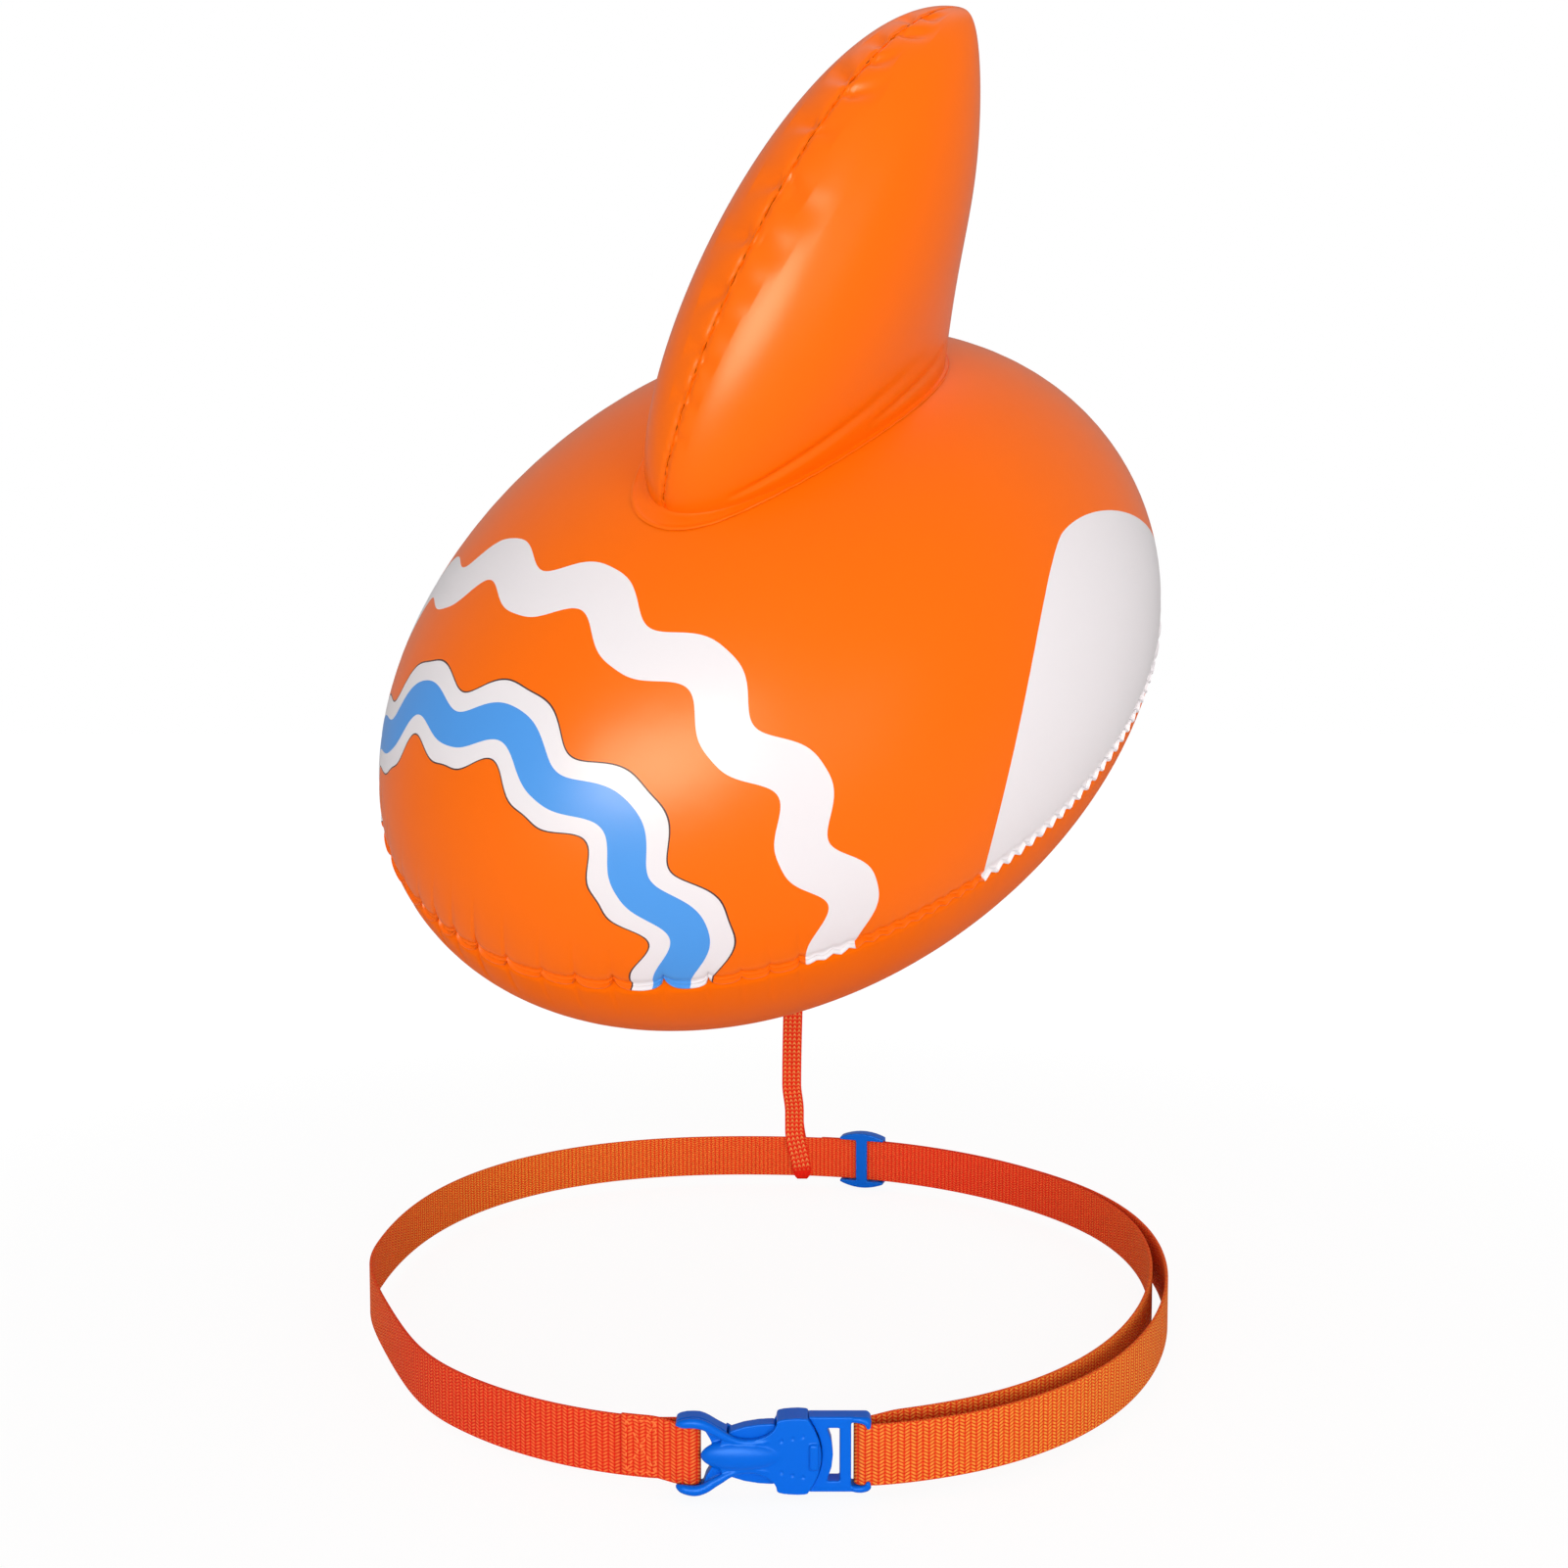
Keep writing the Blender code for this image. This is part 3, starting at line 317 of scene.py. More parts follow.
# %% Measure places on the float
FLOAT_CENTRE = Vector((0.0111, 0.0332, 0.3153))
FLOAT_TURN = Matrix.Rotation(math.radians(-138.0), 3, "Z")
FLOAT_TURN = FLOAT_TURN @ Matrix.Rotation(math.radians(31.4), 3, "Y")
FLOAT_TURN = FLOAT_TURN @ Matrix.Rotation(math.radians(-28.3), 3, "X")
TURN = np.array(FLOAT_TURN)
CENTRE = np.array(FLOAT_CENTRE)
HALF_LENGTH = 0.240
HALF_WIDTH = 0.173
UPPER_RISE = 0.1553
LOWER_RISE = 0.1508


def float_coords(tree):
    """Places in the float's frame, as three sockets."""
    back = FLOAT_TURN.transposed()
    mapped = add(tree, "Mapping", {
        "Vector": add(tree, "TexCoord").outputs["Object"], "Rotation": back.to_euler(),
        "Location": back @ -FLOAT_CENTRE}, vector_type="POINT")
    return add(tree, "SeparateXYZ", mapped).outputs


def nose_angles(tree, x, y, z):
    """On the float stretched to a ball: the turn away from the nose, and the turn round it."""
    halves = ((x, HALF_LENGTH), (y, HALF_WIDTH), (z, UPPER_RISE))
    shares = [calc(tree, "DIVIDE", part, half) for part, half in halves]
    total = power(tree, shares[0], 2.0)
    for share in shares[1:]:
        total = calc(tree, "ADD", total, power(tree, share, 2.0))
    cosine = calc(tree, "DIVIDE", shares[0], calc(tree, "SQRT", total))
    turn = calc(tree, "ARCTAN2", shares[2], shares[1])
    return calc(tree, "ARCCOSINE", cosine), calc(tree, "SUBTRACT", turn, math.pi / 2)


# %% Draw the bands and the flank patch
PRINT_WHITE = "F0EAEC"
PRINT_BLUE = "4E9CEB"
PRINT_DARK = "473236"
WAVE_RISE = 0.0065
AWAY_RADIUS = 0.20
AROUND_RADIUS = 0.16
PATCH_SHIFT = 0.060
PATCH_HALF_LENGTH = 0.123
PATCH_HEIGHT = 0.102
PATCH_FLATNESS = (1.65, 1.5)


def wave_distance(tree, away, around, place, waves):
    """Distance in metres from a wavy line that runs over the nose from seam to seam."""
    turns = calc(tree, "MULTIPLY", around, waves)
    wave = calc(tree, "MULTIPLY", calc(tree, "COSINE", turns), WAVE_RISE)
    reach = calc(tree, "MULTIPLY", calc(tree, "SUBTRACT", away, place), AWAY_RADIUS)
    off = calc(tree, "ABSOLUTE", calc(tree, "SUBTRACT", reach, wave))
    steepest = WAVE_RISE * waves / (AROUND_RADIUS * math.sin(place))
    slope = calc(tree, "MULTIPLY", calc(tree, "SINE", turns), steepest)
    stretch = calc(tree, "SQRT", calc(tree, "ADD", power(tree, slope, 2.0), 1.0))
    return calc(tree, "DIVIDE", off, stretch)


def flank_patch(tree, x, z):
    """1 on the pale patch of each flank, above the seam."""
    along = calc(tree, "DIVIDE", calc(tree, "ADD", x, PATCH_SHIFT), PATCH_HALF_LENGTH)
    up = calc(tree, "DIVIDE", z, PATCH_HEIGHT)
    shares = [power(tree, *pair) for pair in zip((along, up), PATCH_FLATNESS)]
    return calc(tree, "LESS_THAN", calc(tree, "ADD", *shares), 1.0)


printed, tree, shader = film_finish("printed_vinyl")
x, y, z = float_coords(tree)
away, around = nose_angles(tree, x, y, z)
front = wave_distance(tree, away, around, place=0.62, waves=10.0)
second = wave_distance(tree, away, around, place=0.97, waves=14.0)
BAND_LAYERS = ((second, 0.0110, PRINT_WHITE), (front, 0.0185, PRINT_DARK),
               (front, 0.0178, PRINT_WHITE), (front, 0.0085, PRINT_BLUE))
colour = paint(tree, linear(ORANGE), flank_patch(tree, x, z), PRINT_WHITE)
for distance, half_width, ink in BAND_LAYERS:
    band = calc(tree, "LESS_THAN", distance, half_width)
    colour = paint(tree, colour, band, ink)
tree.links.new(colour, shader.inputs["Base Color"])
print("print: a flank patch and", len(BAND_LAYERS), "band layers")

# %% [markdown]
# ## Woven webbing
#
# The straps are polypropylene yarns woven in herringbone. Yarns of 1.45 mm as meshes would cost
# millions of faces, so a bump draws them, and the colour paints their light: painted shade in the
# grooves and a painted highlight on each crest. On the belt they slant to one side in one column
# and to the other in the next, 2.6 mm of the strap's length each. On the leash the slant turns
# across the width, so small V shapes stand in rows. The UV map holds metres, so the pattern keeps
# its size. The belt also has painted sheen: it is painted more red at the left front and the right
# back. Round the leash's fold the yarns are pulled flat, and `bare` wipes out the painted crests
# there, while the bump stays.

# %% Weave the belt's material
FUZZ_SCALE = 900.0
YARN_HEIGHT = 0.0005
YARN_STRENGTH = 0.8
PAINTED_SHEEN_PHASE = -1.9


def painted_sheen_share(tree):
    """Share of the painted sheen, from 0 to 1 and back twice round the loop: 1 at the left front and at
    the right back.
    """
    x, y, z = add(tree, "SeparateXYZ", add(tree, "TexCoord").outputs["Object"]).outputs
    turn = calc(tree, "ARCTAN2", y, x)
    wave = calc(tree, "COSINE", calc(tree, "MULTIPLY_ADD", turn, 2.0, PAINTED_SHEEN_PHASE))
    return calc(tree, "MULTIPLY_ADD", wave, 0.5, 0.5)


def webbing_material(name, deep, high, column, yarn, slant, along_rows, ridge_power=1.1,
                     dip_power=0.8, dip_columns=1, painted_sheen_pair=None, bare=None):
    """Woven yarns: a ridge per yarn, drawn aside by a zigzag, with a dip where each float ends.
    The colour is painted light: painted shade in the grooves and a painted highlight on each crest.
    """
    finish, tree, shader = new_material(name, high, 0.75, Specular_IOR_Level=0.10)
    along, across, _ = add(tree, "SeparateXYZ", add(tree, "UVMap")).outputs
    first, second = (along, across) if along_rows else (across, along)
    turns = calc(tree, "DIVIDE", first, column)
    zigzag = calc(tree, "MULTIPLY", calc(tree, "PINGPONG", turns, 1.0), slant)
    rows = calc(tree, "DIVIDE", calc(tree, "ADD", second, zigzag), yarn)
    row_turn = calc(tree, "MULTIPLY", rows, math.pi)
    ridge = power(tree, calc(tree, "SINE", row_turn), ridge_power)
    column_turn = calc(tree, "MULTIPLY", turns, math.pi / dip_columns)
    dip = power(tree, calc(tree, "SINE", column_turn), dip_power)
    height = calc(tree, "MULTIPLY", ridge, dip)
    where = add(tree, "TexCoord").outputs["Object"]
    fuzz = add(tree, "TexNoise", {"Vector": where, "Scale": FUZZ_SCALE, "Detail": 2.0})
    shade = calc(tree, "MULTIPLY", height, calc(tree, "MULTIPLY_ADD", fuzz, 0.8, 0.6))
    # At the leash's fold the painted highlights are wiped out, and only the painted shade colour stays.
    if bare:
        place, half = bare
        off = calc(tree, "ABSOLUTE", calc(tree, "SUBTRACT", along, place))
        woven = add(tree, "MapRange", {"Value": off, "From Min": 0.8 * half, "From Max": 1.3 * half})
        shade = calc(tree, "MULTIPLY", shade, woven)
    # Painted light: the deep colour is painted shade in the grooves, the high one a painted highlight on
    # the crests.
    colour = paint(tree, linear(deep), shade, high)
    # Painted sheen: a more red pair of yarn colours is mixed in by the angle round the loop.
    if painted_sheen_pair:
        red = paint(tree, linear(painted_sheen_pair[0]), shade, painted_sheen_pair[1])
        mixed = add(tree, "Mix", {0: painted_sheen_share(tree), 6: colour, 7: red}, data_type="RGBA")
        colour = mixed.outputs[2]
    tree.links.new(colour, shader.inputs["Base Color"])
    bump = add(tree, "Bump", {"Height": height, "Distance": YARN_HEIGHT, "Strength": YARN_STRENGTH})
    tree.links.new(bump.outputs["Normal"], shader.inputs["Normal"])
    return finish


# Belt yarns: E21800 is their painted shade and FFB040 their painted highlight; the second, more red pair
# is the same for the painted sheen.
belt_weave = webbing_material("belt_webbing", "E21800", "FFB040", column=0.0026, yarn=0.00145,
                              slant=0.0013, along_rows=True, painted_sheen_pair=("EA0E04", "FF703A"))
print("finish:", belt_weave.name)

# %% [markdown]
# ## The float's two panels
#
# Two flat sheets are welded along an oval and blown up, so each becomes a tight dome whose edge
# gathers. A cloth simulation could find that shape, but a grid bent by a formula puts the gathers
# where the photograph has them: long scallops round the nose and tail, and a zigzag on the flanks.
# Each cusp pinches the skin inwards and fades over the next centimetre or two. The rings are
# crowded towards the seam, where the detail is.

# %% Find the gathers along the seam
DOME_POWER = 1.10
SEAM_LEVEL = 0.00065
COARSE_PITCH = 0.0165
FINE_PITCH = 0.0080
SEAM_STEPS = 4000
BLUNT_SHIFT = 0.08
BLUNT_START = 0.50
BLUNT_CHANGE = 0.10
SCALLOP_RISE = 0.0062
ZIGZAG_RISE = 0.0018
PALE_ZIGZAG_RISE = 0.0014
SEAM_DROP = 0.0012

SEAM_TURNS = np.linspace(-math.pi, math.pi, SEAM_STEPS + 1)
SEAM_SPEED = np.hypot(HALF_LENGTH * np.sin(SEAM_TURNS), HALF_WIDTH * np.cos(SEAM_TURNS))
SEAM_PARTS = (SEAM_SPEED[1:] + SEAM_SPEED[:-1]) / 2 * np.diff(SEAM_TURNS)
SEAM_RUN = np.concatenate([[0], np.cumsum(SEAM_PARTS)])
SEAM_RUN -= SEAM_RUN[SEAM_STEPS // 2]


def seam_run(theta):
    """Metres along the seam from the nose."""
    return np.interp(theta, SEAM_TURNS, SEAM_RUN)


def pucker(theta):
    """Strength from 0 to 1 of the long scallops' cusps and of the zigzag, at each angle."""
    run = seam_run(theta)
    # Sines that never line up make the gathers irregular, as hands and a press leave them.
    blunt = smoothstep((np.abs(np.cos(theta) - BLUNT_SHIFT) - BLUNT_START) / BLUNT_CHANGE)
    wander = 0.0046 * np.sin(run * 37.0) + 0.0021 * np.sin(run * 83.0 + 1.0)
    share = (run + wander) / COARSE_PITCH % 1.0
    coarse = fade(share, 0.16) + 0.45 * fade(1 - share, 0.12)
    fine = 1 - np.abs(2 * ((run / FINE_PITCH) % 1.0) - 1)
    uneven = 0.70 + 0.30 * np.sin(run * 61.0 + 2.0)
    return blunt * coarse * uneven, (1 - blunt) * fine


def seam_lift(theta):
    """Height of the seam line over its plane. The zigzag is taller by the pale patch."""
    coarse, fine = pucker(theta)
    pale = smoothstep((0.30 - np.cos(theta)) / 0.08)
    return SCALLOP_RISE * coarse + (ZIGZAG_RISE + PALE_ZIGZAG_RISE * pale) * fine - SEAM_DROP


print("seam: %.3f m round" % (SEAM_RUN[-1] - SEAM_RUN[0]))

# %% Bend the two panels
SEAM_COLUMNS = 1440
PANEL_ROWS = 42
RING_CROWDING = 1.75
CUSP_DEPTH = 0.0024
TOOTH_DEPTH = 0.0007
GROOVE_DEPTH = 0.0010
CREASE_DEPTH = 0.0009


def grid(columns, rows):
    """A flat grid to bend into shape, with its shares from 0 to 1 both ways."""
    deselect()
    bpy.ops.mesh.primitive_grid_add(x_subdivisions=columns, y_subdivisions=rows, size=1.0)
    item = bpy.context.object
    shares = places(item)[:, :2] + 0.5
    return item, shares[:, 0], shares[:, 1]


def skin(item, points, name, finish, stands_for=(), merge=MERGE, turned=False, wall=0.0):
    """Bend a grid onto the float, merge what meets, face it outwards and give it its wall."""
    move_to(item, points @ TURN.T + CENTRE)
    if merge:
        apply_modifier(item, "WELD", merge_threshold=merge)
    if turned:
        in_edit_mode(item, bpy.ops.mesh.flip_normals)
    if wall:
        apply_modifier(item, "SOLIDIFY", thickness=wall, offset=0.0)
    smooth(item)
    return ready(item, name, finish, stands_for=stands_for)


def float_panel(name, rise, up, finish, stands_for):
    """One dome, up or down, with its pinches, the groove above the weld and the creases."""
    item, u, v = grid(SEAM_COLUMNS, PANEL_ROWS)
    theta = (2 * u - 1) * math.pi
    lift = v ** RING_CROWDING * math.pi / 2
    level = rise * np.sin(lift) ** DOME_POWER
    coarse, fine = pucker(theta)
    inward = CUSP_DEPTH * coarse * fade(level, 0.007) + TOOTH_DEPTH * fine * fade(level, 0.004)
    inward = inward + GROOVE_DEPTH * hill(level - 0.0012, 0.0016)
    crease = coarse * hill(level - 0.014, 0.010) * (0.5 + 0.5 * np.sin(seam_run(theta) * 47.0))
    reach = np.cos(lift) * (1 - (inward + CREASE_DEPTH * crease) / HALF_WIDTH)
    points = np.stack([HALF_LENGTH * reach * np.cos(theta), HALF_WIDTH * reach * np.sin(theta),
                       up * (SEAM_LEVEL + level) + seam_lift(theta) * fade(level, 0.006)], axis=1)
    return skin(item, points, name, finish, stands_for, turned=up < 0)


float_panel("float_upper_skin", UPPER_RISE, 1, printed, ("upper_panel",))
float_panel("float_lower_skin", LOWER_RISE, -1, under, ("lower_panel",))

# %% [markdown]
# ## The weld lip
#
# Outside the weld a narrow strip of doubled film is left. A curve with a flat profile could follow
# the seam, but a grid shares the panels' formulas and wanders with them exactly. It hangs a little,
# and the print runs out over it as teeth.

# %% Lay the lip along the seam
LIP_WIDTH = 0.0019
LIP_SAG = 0.0006
LIP_TUCK = 0.0008
LIP_THICKNESS = 0.0009

item, u, v = grid(SEAM_COLUMNS, 2)
theta = (2 * u - 1) * math.pi
coarse, fine = pucker(theta)
reach = 1 - (CUSP_DEPTH * coarse + TOOTH_DEPTH * fine + LIP_TUCK) / HALF_WIDTH
spread = v * LIP_WIDTH * (1 - 0.7 * np.minimum(coarse, 1))
points = np.stack([(HALF_LENGTH * reach + spread) * np.cos(theta),
                   (HALF_WIDTH * reach + spread) * np.sin(theta),
                   seam_lift(theta) - v * LIP_SAG], axis=1)
skin(item, points, "float_weld_lip", printed, wall=LIP_THICKNESS)

# %% [markdown]
# ## The fin
#
# The fin is made like the float. Seen from the side each edge is a Bezier curve from the root to
# the tip. Across, each skin bulges from the front seam to the rear one. The film is gathered along
# the front seam, so folds run back from it. They could be sculpted, but a list of grooves is easier
# to set against the photograph. A fold is a soft groove between two places, given as shares of the
# way back and of the way up, with its width and depth in metres.

# %% Outline and folds of the fin
ROOT_FRONT = 0.083
ROOT_REAR = -0.113
TIP = np.array([-0.1302, 0.2962])
HALF_THICKNESS = 0.0418
BELLY = 0.191
SECTION = 0.977
LEADING = ((-0.0413, 0.2388), (0.5537, 1.2277))
TRAILING = ((0.1556, 0.6709), (0.7692, 0.4082))
LEFT_FOLDS = (
    (0.00, 0.565, 0.19, 0.535, 0.0052, 0.0015), (0.00, 0.500, 0.13, 0.478, 0.0044, 0.0014),
    (0.00, 0.440, 0.09, 0.428, 0.0034, 0.0011), (0.00, 0.385, 0.07, 0.376, 0.0030, 0.0010),
    (0.00, 0.585, 0.10, 0.560, 0.0034, 0.0018), (0.00, 0.655, 0.09, 0.650, 0.0030, 0.0016),
    (0.00, 0.715, 0.15, 0.735, 0.0036, 0.0026), (0.00, 0.775, 0.11, 0.790, 0.0032, 0.0022),
    (0.00, 0.845, 0.18, 0.865, 0.0036, 0.0024), (0.00, 0.905, 0.13, 0.915, 0.0034, 0.0020),
    (0.00, 0.330, 0.06, 0.322, 0.0026, 0.0013), (0.00, 0.265, 0.05, 0.262, 0.0024, 0.0012),
    (0.00, 0.200, 0.05, 0.198, 0.0024, 0.0010), (0.20, 0.045, 0.62, 0.120, 0.0040, 0.0016),
    (0.50, 0.040, 0.80, 0.060, 0.0036, 0.0013),
)
RIGHT_FOLDS = (
    (0.00, 0.500, 0.16, 0.480, 0.0042, 0.0028), (0.00, 0.425, 0.10, 0.400, 0.0038, 0.0024),
    (0.00, 0.575, 0.12, 0.560, 0.0036, 0.0022), (0.00, 0.660, 0.14, 0.655, 0.0036, 0.0026),
    (0.00, 0.735, 0.16, 0.745, 0.0036, 0.0026), (0.00, 0.810, 0.12, 0.820, 0.0034, 0.0022),
    (0.00, 0.880, 0.14, 0.890, 0.0034, 0.0022), (0.00, 0.345, 0.07, 0.335, 0.0028, 0.0015),
    (0.00, 0.270, 0.06, 0.265, 0.0026, 0.0012), (0.25, 0.050, 0.60, 0.110, 0.0040, 0.0015),
)


def dome(x, y):
    """The upper panel's height at a place on the float."""
    room = 1 - (x / HALF_LENGTH) ** 2 - (y / HALF_WIDTH) ** 2
    return SEAM_LEVEL + UPPER_RISE * np.maximum(room, 0) ** (DOME_POWER / 2)


def edge(start, handles, t):
    """A Bezier curve from the root to the tip, its handles as shares of the way."""
    span = TIP - start
    p1, p2 = (start + span * np.array(h) for h in handles)
    t = t[:, None]
    return ((1 - t) ** 3 * start + 3 * (1 - t) ** 2 * t * p1 + 3 * (1 - t) * t ** 2 * p2
            + t ** 3 * TIP)


def section(along):
    """Across the fin: the share of the way fore, from 1 to -1, and of the way out."""
    turn = math.pi * along
    fore = np.sign(np.cos(turn)) * np.abs(np.cos(turn)) ** SECTION
    return fore, np.maximum(np.sin(turn), 0) ** SECTION


FRONT_START = np.array([ROOT_FRONT, dome(ROOT_FRONT, 0.0)])
REAR_START = np.array([ROOT_REAR, dome(ROOT_REAR, 0.0)])
print("fin: %.3f m chord at its root, %d folds" % (ROOT_FRONT - ROOT_REAR,
                                                  len(LEFT_FOLDS) + len(RIGHT_FOLDS)))

# %% Bend the two skins
FIN_COLUMNS = 240
FIN_ROWS = 280
FIN_DEPTH = 0.19
FIN_HEIGHT = 0.24
FIN_EDGE_RUN = 0.26
BEAD_PITCH = 0.0060
SKIN_GAP = 0.0002
SEAM_PINCH = 0.0005
REAR_PINCH = 0.0008


def fin_surface(along, up, side):
    """The blown-up skin of one side, before its folds."""
    front = edge(FRONT_START, LEADING, up)
    rear = edge(REAR_START, TRAILING, up)
    fore, out = section(along)
    middle = (front + rear) / 2
    reach = (front - rear) / 2 * fore[:, None]
    half = HALF_THICKNESS * np.sqrt(np.maximum(1 - up ** 2, 0)) * (1 + BELLY * 4 * up * (1 - up))
    root_x = (ROOT_FRONT + ROOT_REAR) / 2 + fore * (ROOT_FRONT - ROOT_REAR) / 2
    chord = (FRONT_START[1] + REAR_START[1]) / 2 + (FRONT_START[1] - REAR_START[1]) / 2 * fore
    lift = dome(root_x, out * HALF_THICKNESS) + SKIN_GAP - chord
    return np.stack([middle[:, 0] + reach[:, 0], side * (SKIN_GAP + half * out),
                     middle[:, 1] + reach[:, 1] + lift * (1 - up) ** 2], axis=1)


def fold_depth(along, up, folds):
    """Depth of the folds at each place, as soft grooves that fade towards their far ends."""
    size = np.array([FIN_DEPTH, FIN_HEIGHT])
    depth = np.zeros_like(along)
    for a0, u0, a1, u1, width, deep in folds:
        start = np.array([a0, u0]) * size
        way = np.array([a1 - a0, u1 - u0]) * size
        here = np.stack([along, up], axis=1) * size - start
        share = np.clip(here @ way / (way @ way), 0, 1)
        gap = np.linalg.norm(here - share[:, None] * way, axis=1)
        groove = hill(gap, width * (0.6 + 0.8 * share))
        depth += deep * groove * (1 - share ** 2) * np.minimum(0.35 + share * 3, 1)
    return depth


def outward(points, columns, rows):
    """Unit normals of a bent grid, from its neighbours both ways."""
    net = points.reshape(rows + 1, columns + 1, 3)
    normal = np.cross(np.gradient(net, axis=1), np.gradient(net, axis=0)).reshape(-1, 3)
    return normal / np.maximum(np.linalg.norm(normal, axis=1), 1e-12)[:, None]


def fin_skin(name, side, folds, stands_for):
    """One side of the fin: its folds fade out just before the seam and the tip."""
    item, u, v = grid(FIN_COLUMNS, FIN_ROWS)
    along = 0.45 * (1 - np.cos(math.pi * u)) / 2 + 0.55 * u
    up = np.sin(math.pi / 2 * v)
    points = fin_surface(along, up, side)
    lean = outward(points, FIN_COLUMNS, FIN_ROWS) * side
    bead = 1 - np.abs(np.sin(math.pi * (up * FIN_EDGE_RUN) / BEAD_PITCH))
    seam = SEAM_PINCH * hill(along, 0.010) + SEAM_PINCH * bead * hill(along, 0.014)
    rear_seam = REAR_PINCH * bead * hill(1 - along, 0.014)
    depth = fold_depth(along, up, folds) * smoothstep(along / 0.010) + seam + rear_seam
    points -= lean * (depth * smoothstep((1 - up) / 0.04))[:, None]
    points[:, 1] = side * np.maximum(side * points[:, 1], SKIN_GAP / 2)
    return skin(item, points, name, vinyl, stands_for, WIDE_MERGE, turned=side < 0)


fin_skin("fin_left_skin", 1, LEFT_FOLDS, ("fin_left_panel",))
fin_skin("fin_right_skin", -1, RIGHT_FOLDS, ("fin_right_panel",))

# %% [markdown]
# ## The fin's welds
#
# The weld lip is a thin strip along the outline, and it wavers where the film is gathered. The
# flange at the foot joins the fin to the float, wide in front and narrow behind. Both could be flat
# rings moved into place, but bent grids lie on the curved skins.

# %% The lip along the fin's outline
FIN_LIP_WIDTH = 0.0019
FIN_LIP_TUCK = 0.0022
FIN_LIP_THICKNESS = 0.0006
FIN_MIDDLE = np.array([-0.04, 0.20])

item, u, v = grid(900, 2)
share = np.where(u < 0.5, 2 * u, 2 - 2 * u).clip(0, 1)
up = np.sin(math.pi / 2 * share)
in_front = u < 0.5
outline = np.where(in_front[:, None], edge(FRONT_START, LEADING, up), edge(REAR_START, TRAILING, up))
outline = outline + unit(outline - FIN_MIDDLE) * (v[:, None] * FIN_LIP_WIDTH - FIN_LIP_TUCK)
waver = 0.0007 * np.sin(up * 96.0) * np.sin(up * 31.0 + 0.5) + 0.0003 * np.sin(up * 270.0)
points = np.stack([outline[:, 0], waver * in_front, outline[:, 1]], axis=1)
skin(item, points, "fin_weld_lip", weld, merge=None, wall=FIN_LIP_THICKNESS)

# %% The flange round the fin's foot
FLANGE_REAR = 0.0026
FLANGE_EXTRA_FRONT = 0.0072
FLANGE_TUCK = 0.0008
FLANGE_LEVEL = 0.0004
RIM_BEAD = 0.0005
FOOT_BEAD = 0.0011
FLANGE_RIPPLE = 0.00025

item, u, v = grid(420, 12)
turn = 2 * u
along = np.where(turn <= 1, turn, 2 - turn)
side = np.where(turn <= 1, 1.0, -1.0)
fore, out = section(along)
half_run = (ROOT_FRONT - ROOT_REAR) / 2
base_x = (ROOT_FRONT + ROOT_REAR) / 2 + fore * half_run
base_y = side * out * HALF_THICKNESS
normal = unit(np.stack([fore / half_run, side * out / HALF_THICKNESS], axis=1))
width = FLANGE_REAR + FLANGE_EXTRA_FRONT * hill(along, 0.20)
spread = width * v - FLANGE_TUCK * (1 - v)
at_x = base_x + normal[:, 0] * spread
at_y = base_y + normal[:, 1] * spread
edge_bead = RIM_BEAD * hill(v - 0.90, 0.08) + FOOT_BEAD * hill(v, 0.12)
ripple = FLANGE_RIPPLE * np.abs(np.sin(base_x * 260.0)) * v
points = np.stack([at_x, at_y, dome(at_x, at_y) + FLANGE_LEVEL + edge_bead + ripple], axis=1)
skin(item, points, "fin_weld_flange", vinyl, ("fin_flange",))

# %% [markdown]
# ## The waist belt
#
# A curve with a flat profile would make a band, but it twists where it likes and has no UV map in
# metres. So each strap is a grid bent along its route, given its thickness, and rounded at its four
# edges. The belt turns back round a bar at each half of the buckle, and lies double there.

# %% Bend a strap along its route
BELT_RADIUS = 0.204
BELT_WIDTH = 0.025
BELT_THICKNESS = 0.0015
EDGE_ROUNDING = 0.28


def run_length(route):
    steps = np.linalg.norm(np.diff(route, axis=0), axis=1)
    return np.concatenate([[0], np.cumsum(steps)])


def resample(route, spacing):
    """The same route with evenly spaced points."""
    run = run_length(route)
    count = max(int(run[-1] / spacing), 8)
    want = np.linspace(0, run[-1], count + 1)
    return np.stack([np.interp(want, run, route[:, k]) for k in range(route.shape[1])], axis=1)


def strap(name, route, across, width, thickness, finish, body, stands_for=(), narrow=1.0, columns=8):
    """A woven strap along a route of points, with the direction across it at each point."""
    count = len(route) - 1
    item, u, v = grid(count, columns)
    index = np.rint(u * count).astype(int)
    run = run_length(route)
    narrow = np.broadcast_to(narrow, len(route))
    side = ((v - 0.5) * width * narrow[index])[:, None]
    move_to(item, route[index] + across[index] * side)
    corner = np.zeros(len(item.data.loops), dtype=int)
    item.data.loops.foreach_get("vertex_index", corner)
    uv = np.stack([run[index], (v - 0.5) * width], axis=1)[corner]
    item.data.uv_layers[0].data.foreach_set("uv", uv.ravel())
    apply_modifier(item, "SOLIDIFY", thickness=thickness, offset=0.0)
    apply_modifier(item, "BEVEL", width=thickness * EDGE_ROUNDING, segments=2,
                   limit_method="ANGLE", angle_limit=math.radians(60))
    smooth(item, 50)
    return ready(item, name, finish, body, stands_for)


